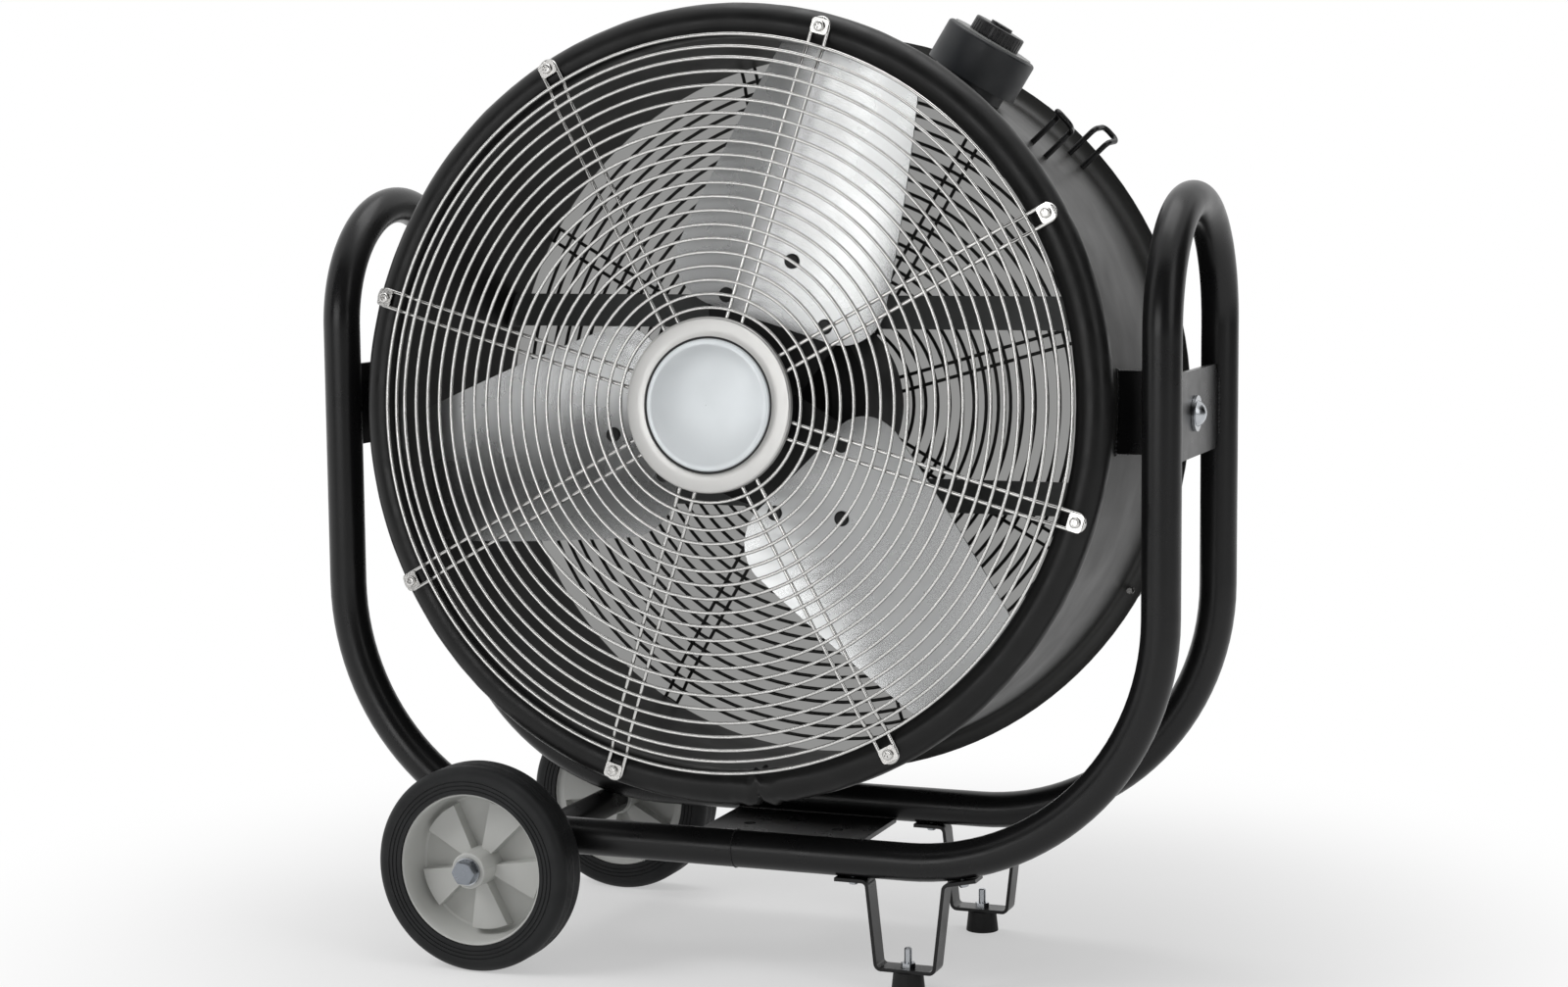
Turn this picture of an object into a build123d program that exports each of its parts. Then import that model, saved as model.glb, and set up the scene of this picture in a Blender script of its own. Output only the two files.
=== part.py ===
from build123d import *
from math import asin, cos, degrees, radians, sin, sqrt
import os

# Wheeled drum fan: a round fan drum that tilts between the two sides of a bent tube frame.
# Millimetres. X is to the right seen from the front, Y to the back, Z up.
# The origin is on the floor under the middle of the fan. The guard faces -Y.

# ---- clearances ------------------------------------------------------------------------
SEAT_GAP = 0.1          # between pieces that are welded, clamped or pressed together
RUN_GAP = 0.05          # radial, between a turning shaft and its bore
FACE_GAP = 0.3          # between the faces of pieces that turn against each other
HOLE_GAP = 0.3          # radial, round the shank of a fixed screw

# ---- main sizes ------------------------------------------------------------------------
DRUM_R = 320.0          # outside of the barrel
DRUM_TILT = 4.2         # degrees that the guard looks up at rest
DRUM_FRONT_Y = -131.0
DRUM_REAR_Y = 142.0
TUBE_D = 32.0
TUBE_R = TUBE_D / 2
FLOOR_TUBE_Z = 111.0    # middle of the bottom tubes
SIDE_CLEAR = 33.0       # between the barrel and the upright tubes
BOTTOM_CLEAR = 35.0     # height of the barrel above the bottom tubes

# ---- frame -----------------------------------------------------------------------------
TUBE_WALL = 2.0
SIDE_X = DRUM_R + SIDE_CLEAR + TUBE_R       # middle of the uprights from the middle of the fan
SIDE_Y = 106.0          # middle of the front and rear tubes from the middle of the fan
CORNER_R = 214.0        # bend of the bottom corners, on the tube's middle line
CORNER_X = SIDE_X - CORNER_R
CORNER_Z = FLOOR_TUBE_Z + CORNER_R
FLOOR_TUBE_BOTTOM_Z = FLOOR_TUBE_Z - TUBE_R
PIVOT_Z = FLOOR_TUBE_Z + TUBE_R + BOTTOM_CLEAR + DRUM_R     # the pivots, level with the drum's axis
HOOP_RISE = 70.0        # start of the handle hoops above the pivots
UPRIGHT_TOP_Z = PIVOT_Z + HOOP_RISE
TRUNNION_PLATE_H = 72.0
TRUNNION_PLATE_T = 5.0
TRUNNION_PLATE_CHAMFER = 12.0
BASE_PLATE_W = 154.0
BASE_PLATE_T = 4.0
BASE_PLATE_RISE = 0.5   # the plate's underside above the tubes' undersides
BASE_HOLE_D = 11.0
BASE_HOLE_DX = 84.0
BASE_HOLE_DY = 68.0

# ---- wheels ----------------------------------------------------------------------------
WHEEL_R = 90.0
WHEEL_W = 40.0
WHEEL_OFFSET = 49.0     # middle of each tyre outside the middle of its tube
WHEEL_Y = SIDE_Y + WHEEL_OFFSET
TYRE_H = 23.5           # from the rim's seat to the tread
RIM_R = WHEEL_R - TYRE_H
RIM_WALL = 6.5
RIM_W = 36.0
TYRE_ROUND = 9.0
HUB_BOSS_R = 14.0
HUB_BOSS_W = 44.0
HUB_WEB_T = 6.0
VANE_COUNT = 8
VANE_HIGH = 9.0         # the high edge of each wheel vane above the web
VANE_LOW = 3.0
AXLE_TUBE_D = 26.9
AXLE_TUBE_R = AXLE_TUBE_D / 2
AXLE_TUBE_WALL = 2.6
AXLE_TUBE_INSET = 3.0   # from the wheel's inner face back to the tube's end
AXLE_PLUG_LEN = 30.0
AXLE_BOLT_D = 12.0
AXLE_BOLT_AF = 19.0
AXLE_HEAD_H = 7.5
AXLE_WASHER_D = 24.0
AXLE_WASHER_T = 2.5
AXLE_BOLT_IN = 24.0     # how far the bolt reaches into the plug
AXLE_REACH = CORNER_R + TUBE_R + AXLE_TUBE_R + SEAT_GAP     # axle from the corner bend's middle
WHEEL_X = -(CORNER_X + sqrt(AXLE_REACH ** 2 - (CORNER_Z - WHEEL_R) ** 2))
WHEEL_OUT_Y = WHEEL_Y + HUB_BOSS_W / 2
AXLE_TUBE_END_Y = WHEEL_Y - HUB_BOSS_W / 2 - FACE_GAP - AXLE_TUBE_INSET

# ---- feet ------------------------------------------------------------------------------
FOOT_X = CORNER_X
FOOT_H = 18.0
FOOT_TOP_D = 25.0
FOOT_BOTTOM_D = 29.0
STRAP_W = 20.0
STRAP_T = 3.0
STRAP_HALF_TOP = 33.5   # middle of the legs from the middle of the strap, at the tube
STRAP_HALF_BOTTOM = 25.5
STRAP_HALF_LEN = 62.0
STRAP_BEND_R = 5.0
STRAP_SCREW_AT = 48.0
STRAP_SCREW_D = 5.0
STRAP_SCREW_LEN = 10.0
STRAP_HEAD_R = 4.75
STRAP_HEAD_H = 3.25
STUD_D = 6.5
STUD_OUT = 20.0         # stud above the rubber foot
STUD_IN_FOOT = 12.0
STUD_NUT_AF = 11.0
STUD_NUT_H = 4.0

# ---- drum: its own axis is Y and its own origin is the middle of its pivots ------------
SHEET_T = 2.0
FRONT_FLANGE_R = DRUM_R + 7.0
REAR_FLANGE_R = DRUM_R + 16.0
REAR_BEND_R = 12.0
TRIM_R = DRUM_R - 1.9           # middle of the rubber edge trim's round section
TRIM_Y = DRUM_FRONT_Y + 10.1
TRIM_SECTION_R = 15.8
TRIM_INNER_R = DRUM_R - 15.0

# ---- pivots ----------------------------------------------------------------------------
BRACKET_LEN = 110.0
BRACKET_H = 68.0
BRACKET_WALL = 4.0
BRACKET_OUT_X = DRUM_R + 30.0
BRACKET_ROUND = 4.0
PIVOT_SPACER_D = 38.0
PIVOT_BOLT_D = 12.0
PIVOT_HEAD_D = 22.0
PIVOT_HEAD_H = 7.0
PIVOT_WASHER_D = 30.0
PIVOT_WASHER_T = 2.5
PIVOT_NUT_AF = 19.0
PIVOT_NUT_H = 10.0
PIVOT_THREAD_PAST = 2.0

# ---- front guard -----------------------------------------------------------------------
HUB_CAP_R = 73.0
HUB_CAP_DEPTH = 5.0
HUB_CAP_T = 1.5
HUB_CAP_ROUND = 3.6
HUB_CAP_INNER_R = HUB_CAP_R - 13.0
BADGE_R = HUB_CAP_INNER_R - 5.0
BADGE_DOME = 4.5
BADGE_EDGE_T = 3.0
BADGE_BEVEL = 2.0
BADGE_BEVEL_H = 1.2
HUB_PLATE_R = HUB_CAP_R - 7.0
HUB_PLATE_T = 1.5
RIB_COUNT = 8
RIB_FIRST_DEG = 15.7    # clockwise from the top, seen from the front
RIB_SPACING = 14.0
RIB_WIRE_R = 1.6
RIB_BEND_R = 12.0
RIB_INNER_R = HUB_CAP_INNER_R - 4.0
RIM_RING_R = (DRUM_R - 45.4, DRUM_R - 34.1, DRUM_R - 24.8, DRUM_R - 14.5)
RING_WIRE_R = 1.4
RING_FIRST_R = HUB_CAP_R + 7.3
RING_COUNT = 17
RING_STEP = (RIM_RING_R[0] - RING_FIRST_R) / RING_COUNT
GUARD_MIDDLE_Y = DRUM_FRONT_Y - 18.5    # middle of the rib wires on the axis
GUARD_DISH_R = 7290.0                   # the guard's slight dish is part of a sphere
GUARD_EDGE_R = DRUM_R - 34.0            # where the ribs bend back to the rim
GUARD_RIM_R = DRUM_R - 16.0             # where the ribs lie flat against the rim
GUARD_RIM_Y = DRUM_FRONT_Y - 7.5
CLIP_R = DRUM_R + 1.4
CLIP_W = 15.0
CLIP_H = 12.5
CLIP_ROUND = 3.0
CLIP_T = 1.6
CLIP_SCREW_D = 5.0
CLIP_SCREW_LEN = 16.0
CLIP_HEAD_D = 9.0
CLIP_HEAD_H = 3.4
CROSS_SLOT_LEN = 5.0
CROSS_SLOT_W = 1.2
CROSS_SLOT_DEPTH = 1.2
TRIM_FRONT_Y = TRIM_Y - sqrt(TRIM_SECTION_R ** 2 - (CLIP_R - TRIM_R) ** 2)

# ---- rear guard ------------------------------------------------------------------------
REAR_HUB_PLATE_R = 50.0
REAR_RIB_FIRST_DEG = 29.0
REAR_GUARD_Y = DRUM_REAR_Y - 4.0
REAR_RIB_SPACING = 13.0
REAR_RIB_BEND_R = 8.0
REAR_RIB_INNER_R = REAR_HUB_PLATE_R - 10.0
REAR_CLIP_R = DRUM_R + 8.0
REAR_RING_WIRE_R = 1.6
REAR_RING_FIRST_R = REAR_HUB_PLATE_R + 7.4
REAR_RING_LAST_R = DRUM_R - 11.1
REAR_RING_COUNT = 23
REAR_RING_STEP = (REAR_RING_LAST_R - REAR_RING_FIRST_R) / (REAR_RING_COUNT - 1)
REAR_STEP_R = DRUM_R - 28.0     # where the rear ribs step back over the flange
REAR_STEP_LEN = 20.0

# ---- motor -----------------------------------------------------------------------------
BAR_UPPER_Z = 84.0
BAR_LOWER_Z = -79.0
BAR_H = 30.0
BAR_T = 5.0
BAR_Y = DRUM_REAR_Y - 44.0      # front face of the bars
BAR_TAB_LEN = 26.0
BAR_END_GAP = 1.0               # between a bar's end and the barrel, beside its tab
BAR_BOLT_D = 8.0
BAR_BOLT_HEAD_D = 14.0
BAR_BOLT_HEAD_H = 4.5
BAR_BOLT_PAST = 2.0
BAR_NUT_AF = 13.0
BAR_NUT_H = 6.0
MOTOR_R = 89.0
MOTOR_CORE_R = 62.0             # the free space round the shaft
MOTOR_COVER_H = 18.0
MOTOR_COVER_TOP_R = 62.0
MOTOR_COVER_WALL = 5.0
MOTOR_FRONT_Y = -8.0
MOTOR_REAR_Y = BAR_Y - MOTOR_COVER_H - 2 * SEAT_GAP
MOTOR_BOLT_X = 40.0
MOTOR_BOLT_D = 8.0
MOTOR_BOLT_AF = 13.0
MOTOR_BOLT_HEAD_H = 5.3
MOTOR_BOLT_IN = 13.0            # thread in the ear
EAR_D = 22.4                    # round ears of the rear cover, one at each motor bolt
EAR_WEB_W = 20.0
EAR_WEB_H = 26.0
EAR_WEB_T = 8.0
EAR_WEB_IN = 0.88               # the web's middle, as a share of the ear's distance from the axis
SHAFT_D = 14.0
SHAFT_PAST_BOSS = 14.0

# ---- impeller --------------------------------------------------------------------------
BLADE_COUNT = 3
BLADE_FIRST_DEG = 17.3
BLADE_T = 2.0
BLADE_TIP_R = DRUM_R - 11.0
BLADE_ROOT_Z = 72.0             # root edge from the axis, along the blade's middle line
BLADE_ROOT_ROUND = 40.0
BLADE_HALF_ROOT = 92.0          # half width at the root's corners
BLADE_HALF_MIDDLE = 77.0
BLADE_HALF_TIP = 57.0
BLADE_MIDDLE_Y = -66.5          # front face on the blade's middle line
BLADE_PITCH_DEG = 9.6           # slope there
BLADE_CURVE_R = 320.0           # the sheet is rolled to this radius
CUT_PAST = 5.0                  # how far a cutting shape passes the piece that it cuts
RIVET_D = 8.0
RIVET_HEAD_D = 13.0
RIVET_HEAD_H = 2.5
RIVET_SIDE_X = 44.0
RIVET_SIDE_Z = BLADE_ROOT_Z + 12.0
RIVET_TIP_Z = BLADE_ROOT_Z + 56.0
SPIDER_T = 4.0
SPIDER_ARM_END = RIVET_TIP_Z + 12.0
SPIDER_ARM_ROOT = RIVET_SIDE_X + 12.0   # half width of an arm beside the side rivets
SPIDER_ARM_TIP = 14.0
SPIDER_ARM_START = 32.0                 # half width of an arm on the axis
SPIDER_BOSS_R = 46.0
SPIDER_BOSS_LEN = 26.0
SPIDER_BOSS_Y = -80.0           # front face of the boss
HUB_NUT_AF = 22.0
HUB_NUT_H = 9.0

# ---- speed control and cord hooks ------------------------------------------------------
CONTROL_DEG = 31.2
CONTROL_Y = 8.0
CONTROL_D = 83.0
CONTROL_WALL = 3.0
CONTROL_RISE = 8.0          # underside of the box above the barrel
CONTROL_FLOOR_R = DRUM_R + CONTROL_RISE
CONTROL_H = 36.0
CONTROL_EDGE = 3.0
CONTROL_BASE_D = CONTROL_D - 17.0
CONTROL_FACE_D = CONTROL_D - 10.0
CONTROL_FACE_T = 1.2
KNOB_D = 46.0
KNOB_H = 12.0
KNOB_ROUND = 1.5
KNOB_CAP_D = 20.0
KNOB_CAP_H = 2.5
KNOB_GRIPS = 36
KNOB_GRIP_R = 0.9
KNOB_GRIP_OUT = 0.2         # a grip groove's middle outside the knob
KNOB_GRIP_END = 2.0         # between a groove's end and the knob's top
SPINDLE_D = 8.0
SPINDLE_LEN = 26.0
GLAND_D = 17.0
GLAND_LEN = 14.0
GLAND_BORE_D = 8.0
GLAND_NUT_AF = 22.0
GLAND_NUT_H = 5.0
HOOK_DEG = 46.8
HOOK_FRONT_Y = 0.0
HOOK_REAR_Y = 118.0
HOOK_WIRE_D = 5.0
HOOK_SPACING = 17.0
HOOK_H = 31.0
HOOK_REACH = 20.0
HOOK_LIFT = 5.0
HOOK_BEND_R = 6.0


# ---- helpers ---------------------------------------------------------------------------
def rod_x(radius, x_start, x_end):
    """Round bar along X."""
    length = x_end - x_start
    return Pos((x_start + x_end) / 2, 0, 0) * Rot(0, 90, 0) * Cylinder(radius, length)


def rod_y(radius, y_start, y_end):
    """Round bar along Y."""
    length = y_end - y_start
    return Pos(0, (y_start + y_end) / 2, 0) * Rot(90, 0, 0) * Cylinder(radius, length)


def rod_z(radius, z_start, z_end):
    """Round bar along Z."""
    return Pos(0, 0, (z_start + z_end) / 2) * Cylinder(radius, z_end - z_start)


def hex_z(across_flats, z_start, z_end):
    """Hexagonal bar along Z, given across its flats."""
    outline = RegularPolygon(across_flats / sqrt(3), 6)
    return Pos(0, 0, z_start) * extrude(outline, z_end - z_start)


def turned_y(points):
    """Solid of revolution about Y from an outline of (radius, y) points."""
    return revolve(make_face(Polyline(*points, close=True)), Axis.Y)


def dome_arc(rim_radius, rim_height, crown_height, to_point):
    """Arc from a dome's rim to its crown on the axis, square to the axis there."""
    rise = crown_height - rim_height
    sphere_r = (rim_radius ** 2 + rise ** 2) / (2 * abs(rise))
    half_angle = asin(rim_radius / sphere_r) / 2
    drop = sphere_r * (1 - cos(half_angle))
    middle_height = crown_height - drop if rise > 0 else crown_height + drop
    middle = to_point(sphere_r * sin(half_angle), middle_height)
    return ThreePointArc(to_point(rim_radius, rim_height), middle, to_point(0, crown_height))


def hoop_wire(ring_radius, wire_radius, y):
    """Closed round wire ring about the Y axis."""
    return Pos(0, y, 0) * Rot(90, 0, 0) * Torus(ring_radius, wire_radius)


def turned_to(angle, shape):
    """Turn a piece made at the top of the drum clockwise, seen from the front."""
    return Rot(0, angle, 0) * shape


def in_drum(shape):
    """Carry a piece from the drum's own frame to its place in the fan."""
    return Pos(0, 0, PIVOT_Z) * Rot(-DRUM_TILT, 0, 0) * shape


def round_wire(path, radius):
    """Sweep a round section along a path."""
    start = Plane(origin=path @ 0, z_dir=path % 0)
    return sweep(start * Circle(radius), path)


# ---- frame -----------------------------------------------------------------------------
def tube_along(path):
    """Hollow frame tube along a path."""
    return round_wire(path, TUBE_R) - round_wire(path, TUBE_R - TUBE_WALL)


def cradle_tube(y):
    """U-shaped tube: two uprights and the bottom run between them."""
    path = FilletPolyline(
        (-SIDE_X, y, UPRIGHT_TOP_Z),
        (-SIDE_X, y, FLOOR_TUBE_Z),
        (SIDE_X, y, FLOOR_TUBE_Z),
        (SIDE_X, y, UPRIGHT_TOP_Z),
        radius=CORNER_R,
    )
    tube = tube_along(path)
    for offset in (-STRAP_SCREW_AT, STRAP_SCREW_AT):
        tube -= strap_screw_place(offset, y) * rod_z(STRAP_SCREW_D / 2 + HOLE_GAP, -1, TUBE_R)
    return tube


def hoop(x):
    """Half-round handle over a front and a rear upright."""
    path = ThreePointArc(
        (x, -SIDE_Y, UPRIGHT_TOP_Z),
        (x, 0, UPRIGHT_TOP_Z + SIDE_Y),
        (x, SIDE_Y, UPRIGHT_TOP_Z),
    )
    return tube_along(path)


def trunnion_plate(side):
    """Upright plate welded between two uprights, with the pivot's hole."""
    half_len = SIDE_Y - TUBE_R - SEAT_GAP
    blank = Box(TRUNNION_PLATE_T, 2 * half_len, TRUNNION_PLATE_H)
    blank = chamfer(blank.edges().filter_by(Axis.X), TRUNNION_PLATE_CHAMFER)
    hole = rod_x(PIVOT_BOLT_D / 2 + RUN_GAP, -TRUNNION_PLATE_T, TRUNNION_PLATE_T)
    return Pos(side * SIDE_X, 0, PIVOT_Z) * (blank - hole)


def base_plate():
    """Flat plate between the bottom tubes, with four mounting holes."""
    bottom_z = FLOOR_TUBE_BOTTOM_Z + BASE_PLATE_RISE
    above_middle = bottom_z + BASE_PLATE_T - FLOOR_TUBE_Z
    half_y = SIDE_Y - sqrt(TUBE_R ** 2 - above_middle ** 2) - SEAT_GAP
    plate = Box(BASE_PLATE_W, 2 * half_y, BASE_PLATE_T)
    for place in GridLocations(BASE_HOLE_DX, BASE_HOLE_DY, 2, 2):
        plate -= place * Cylinder(BASE_HOLE_D / 2, 2 * BASE_PLATE_T)
    return Pos(0, 0, bottom_z + BASE_PLATE_T / 2) * plate


# ---- wheels ----------------------------------------------------------------------------
def axle_tube():
    """Tube under both corner bends that carries the two wheels."""
    outer = rod_y(AXLE_TUBE_R, -AXLE_TUBE_END_Y, AXLE_TUBE_END_Y)
    bore = rod_y(AXLE_TUBE_R - AXLE_TUBE_WALL, -AXLE_TUBE_END_Y, AXLE_TUBE_END_Y)
    return Pos(WHEEL_X, 0, WHEEL_R) * (outer - bore)


def on_axle(side, shape):
    """Place a piece made for the rear wheel at the rear (side 1) or front (side -1)."""
    turned = shape if side > 0 else Rot(0, 0, 180) * shape
    return Pos(WHEEL_X, 0, WHEEL_R) * turned


def axle_plug():
    """Round insert in the end of the axle tube, bored for the wheel's bolt."""
    start = AXLE_TUBE_END_Y - AXLE_PLUG_LEN
    body = rod_y(AXLE_TUBE_R - AXLE_TUBE_WALL - SEAT_GAP, start, AXLE_TUBE_END_Y)
    bore_radius = AXLE_BOLT_D / 2 + SEAT_GAP
    return body - rod_y(bore_radius, AXLE_TUBE_END_Y - AXLE_BOLT_IN - 1, AXLE_TUBE_END_Y)


def axle_washer(y_start, y_end):
    """Flat washer on the wheel's bolt."""
    ring = rod_y(AXLE_WASHER_D / 2, y_start, y_end)
    return ring - rod_y(AXLE_BOLT_D / 2 + SEAT_GAP, y_start, y_end)


def axle_washers():
    """The spacer behind the hub and the washer in front of it."""
    inner_end = WHEEL_Y - HUB_BOSS_W / 2 - FACE_GAP
    outer_start = WHEEL_OUT_Y + FACE_GAP
    inner = axle_washer(AXLE_TUBE_END_Y, inner_end)
    outer = axle_washer(outer_start, outer_start + AXLE_WASHER_T)
    return [inner, outer]


def axle_bolt():
    """Hexagon bolt that a wheel turns on."""
    head_start = WHEEL_OUT_Y + FACE_GAP + AXLE_WASHER_T
    shank = rod_y(AXLE_BOLT_D / 2, AXLE_TUBE_END_Y - AXLE_BOLT_IN, head_start)
    head = Rot(-90, 0, 0) * hex_z(AXLE_BOLT_AF, head_start, head_start + AXLE_HEAD_H)
    return shank + chamfered_head(head, head_start + AXLE_HEAD_H)


def chamfered_head(head, end_y):
    """Break the outer corners of a hexagon head that ends at end_y."""
    corner_r = AXLE_BOLT_AF / sqrt(3)
    flat_r = AXLE_BOLT_AF / 2 - 0.5
    rise = (corner_r - flat_r) / 2
    wide_r = corner_r + 1
    start_y = end_y - 2 * AXLE_HEAD_H
    cone = turned_y([
        (0, start_y), (wide_r, start_y), (wide_r, end_y - rise - 0.5), (flat_r, end_y), (0, end_y)])
    return head & cone


def tyre():
    """Rubber tyre with rounded shoulders."""
    section = Pos((WHEEL_R + RIM_R + SEAT_GAP) / 2, WHEEL_Y) * Rectangle(
        WHEEL_R - RIM_R - SEAT_GAP, WHEEL_W)
    outer = section.vertices().group_by(Axis.X)[-1]
    return revolve(fillet(outer, TYRE_ROUND), Axis.Y)


def wheel_vane(index):
    """One sloping sector of the wheel's pinwheel dish, standing on the web."""
    sweep_deg = 360 / VANE_COUNT
    outer_r = RIM_R - RIM_WALL
    half = sweep_deg / 2
    start = (HUB_BOSS_R * sin(radians(-half)), HUB_BOSS_R * cos(radians(half)))
    corner = (outer_r * sin(radians(-half)), outer_r * cos(radians(half)))
    sector = make_face(
        Line(start, corner)
        + ThreePointArc(corner, (0, outer_r), (-corner[0], corner[1]))
        + Line((-corner[0], corner[1]), (-start[0], start[1]))
        + Line((-start[0], start[1]), start)
    )
    block = extrude(sector, VANE_HIGH)
    slope = degrees(asin((VANE_HIGH - VANE_LOW) / (2 * outer_r * sin(radians(half)))))
    middle = (VANE_HIGH + VANE_LOW) / 2
    above = Pos(0, outer_r / 2, middle) * Rot(0, slope, 0) * Pos(0, 0, VANE_HIGH) * Box(
        4 * outer_r, 4 * outer_r, 2 * VANE_HIGH)
    return Rot(0, 0, index * sweep_deg) * (block - above)


def wheel_hub():
    """Plastic wheel: rim, web, boss and pinwheel vanes on both faces."""
    half_rim = RIM_W / 2
    inner_r = RIM_R - RIM_WALL
    body = rod_y(RIM_R, -half_rim, half_rim) - rod_y(inner_r, -half_rim, half_rim)
    body += rod_y(inner_r, -HUB_WEB_T / 2, HUB_WEB_T / 2)
    body += rod_y(HUB_BOSS_R, -HUB_BOSS_W / 2, HUB_BOSS_W / 2)
    for facing in (-1, 1):
        for index in range(VANE_COUNT):
            vane = Rot(-90 * facing, 0, 0) * Pos(0, 0, HUB_WEB_T / 2) * wheel_vane(index)
            body += vane
    body -= rod_y(AXLE_BOLT_D / 2 + RUN_GAP, -HUB_BOSS_W, HUB_BOSS_W)
    return Pos(0, WHEEL_Y, 0) * body


# ---- feet ------------------------------------------------------------------------------
def strap_screw_place(offset, y):
    """Where a strap screw meets the tube's underside, with Z square to the tube."""
    if offset < 0:
        return Pos(FOOT_X + offset, y, FLOOR_TUBE_BOTTOM_Z)
    reach = CORNER_R + TUBE_R
    along = FOOT_X + offset - CORNER_X
    lean = degrees(asin(along / reach))
    height = CORNER_Z - sqrt(reach ** 2 - along ** 2)
    return Pos(FOOT_X + offset, y, height) * Rot(0, -lean, 0)


def strap_flange_end(offset, distance):
    """Middle of the strap's thickness at a distance along a flange from its screw."""
    place = strap_screw_place(offset, 0) * Pos(distance, 0, -SEAT_GAP - STRAP_T / 2)
    return (place.position.X, place.position.Z)


def foot_strap(y):
    """Hat-shaped strap under a bottom tube that carries a rubber foot."""
    bottom_z = FOOT_H + SEAT_GAP + STRAP_T / 2
    past = STRAP_HALF_LEN - STRAP_SCREW_AT
    back = STRAP_SCREW_AT - STRAP_HALF_TOP
    line = FilletPolyline(
        strap_flange_end(-STRAP_SCREW_AT, -past),
        strap_flange_end(-STRAP_SCREW_AT, back),
        (FOOT_X - STRAP_HALF_BOTTOM, bottom_z),
        (FOOT_X + STRAP_HALF_BOTTOM, bottom_z),
        strap_flange_end(STRAP_SCREW_AT, -back),
        strap_flange_end(STRAP_SCREW_AT, past),
        radius=STRAP_BEND_R,
    )
    band = Plane.XZ * trace(line, STRAP_T)
    strap = Pos(0, y, 0) * extrude(band, STRAP_W / 2, both=True)
    for offset in (-STRAP_SCREW_AT, STRAP_SCREW_AT):
        strap -= strap_screw_place(offset, y) * rod_z(STRAP_SCREW_D / 2 + HOLE_GAP, -2 * STRAP_T, STRAP_T)
    return strap - Pos(FOOT_X, y, 0) * rod_z(STUD_D / 2 + HOLE_GAP, FOOT_H, FOOT_H + 2 * STRAP_T)


def strap_screw(offset, y):
    """Round-head screw up through a strap's flange into the tube."""
    seat_z = -2 * SEAT_GAP - STRAP_T
    shank = rod_z(STRAP_SCREW_D / 2, seat_z, STRAP_SCREW_LEN + seat_z)
    head = Pos(0, 0, seat_z) * (Sphere(STRAP_HEAD_R) & rod_z(STRAP_HEAD_R, -STRAP_HEAD_H, 0))
    return strap_screw_place(offset, y) * (shank + head)


def rubber_foot(y):
    """Slightly tapered rubber foot with a blind hole for its stud."""
    section = make_face(Polyline((0, 0), (FOOT_BOTTOM_D / 2, 0), (FOOT_TOP_D / 2, FOOT_H),
                                 (0, FOOT_H), close=True))
    body = revolve(Plane.XZ * section, Axis.Z)
    hole = rod_z(STUD_D / 2 + SEAT_GAP, FOOT_H - STUD_IN_FOOT - 1, FOOT_H)
    return Pos(FOOT_X, y, 0) * (body - hole)


def foot_stud(y):
    """Threaded stud from a rubber foot up through its strap."""
    stud = rod_z(STUD_D / 2, FOOT_H - STUD_IN_FOOT, FOOT_H + STUD_OUT)
    stud = chamfer(stud.edges().group_by(Axis.Z)[-1], 0.8)
    return Pos(FOOT_X, y, 0) * stud


def foot_nut(y):
    """Nut on top of the strap's floor."""
    floor_z = FOOT_H + STRAP_T + 2 * SEAT_GAP
    nut = hex_z(STUD_NUT_AF, floor_z, floor_z + STUD_NUT_H)
    nut -= rod_z(STUD_D / 2 + SEAT_GAP, floor_z, floor_z + STUD_NUT_H)
    return Pos(FOOT_X, y, 0) * nut


# ---- drum ------------------------------------------------------------------------------
def shell_section(grow):
    """Outline of the drum's sheet, grown all round by a clearance."""
    inner_r = DRUM_R - SHEET_T - grow
    outer_r = DRUM_R + grow
    section = make_face(Polyline(
        (inner_r, DRUM_FRONT_Y - grow),
        (FRONT_FLANGE_R + grow, DRUM_FRONT_Y - grow),
        (FRONT_FLANGE_R + grow, DRUM_FRONT_Y + SHEET_T + grow),
        (outer_r, DRUM_FRONT_Y + SHEET_T + grow),
        (outer_r, DRUM_REAR_Y - SHEET_T - grow),
        (REAR_FLANGE_R + grow, DRUM_REAR_Y - SHEET_T - grow),
        (REAR_FLANGE_R + grow, DRUM_REAR_Y + grow),
        (inner_r, DRUM_REAR_Y + grow),
        close=True))
    inner_corner = section.vertices().sort_by_distance((inner_r, DRUM_REAR_Y + grow))[0]
    section = fillet(inner_corner, REAR_BEND_R + SHEET_T)
    outer_corner = section.vertices().sort_by_distance((outer_r, DRUM_REAR_Y - SHEET_T - grow))[0]
    return fillet(outer_corner, REAR_BEND_R)


def bar_bolt_hole(height, side):
    """Round cut through the barrel and a bar's tab for its bolt."""
    return bar_bolt_place(height, side) * rod_z(BAR_BOLT_D / 2 + HOLE_GAP, -BAR_TAB_LEN, BAR_TAB_LEN)


def drum_shell():
    """Rolled sheet barrel with a front flange and a flared rear flange."""
    shell = revolve(shell_section(0), Axis.Y)
    hole_r = CLIP_SCREW_D / 2 + HOLE_GAP
    for index in range(RIB_COUNT):
        shell -= clip_place(index) * rod_y(hole_r, DRUM_FRONT_Y - CUT_PAST, DRUM_FRONT_Y + 2 * CUT_PAST)
        shell -= rear_clip_place(index) * rod_y(hole_r, DRUM_REAR_Y - CUT_PAST, DRUM_REAR_Y + CUT_PAST)
    for height in (BAR_UPPER_Z, BAR_LOWER_Z):
        for side in (-1, 1):
            shell -= bar_bolt_hole(height, side)
    return shell


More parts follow.
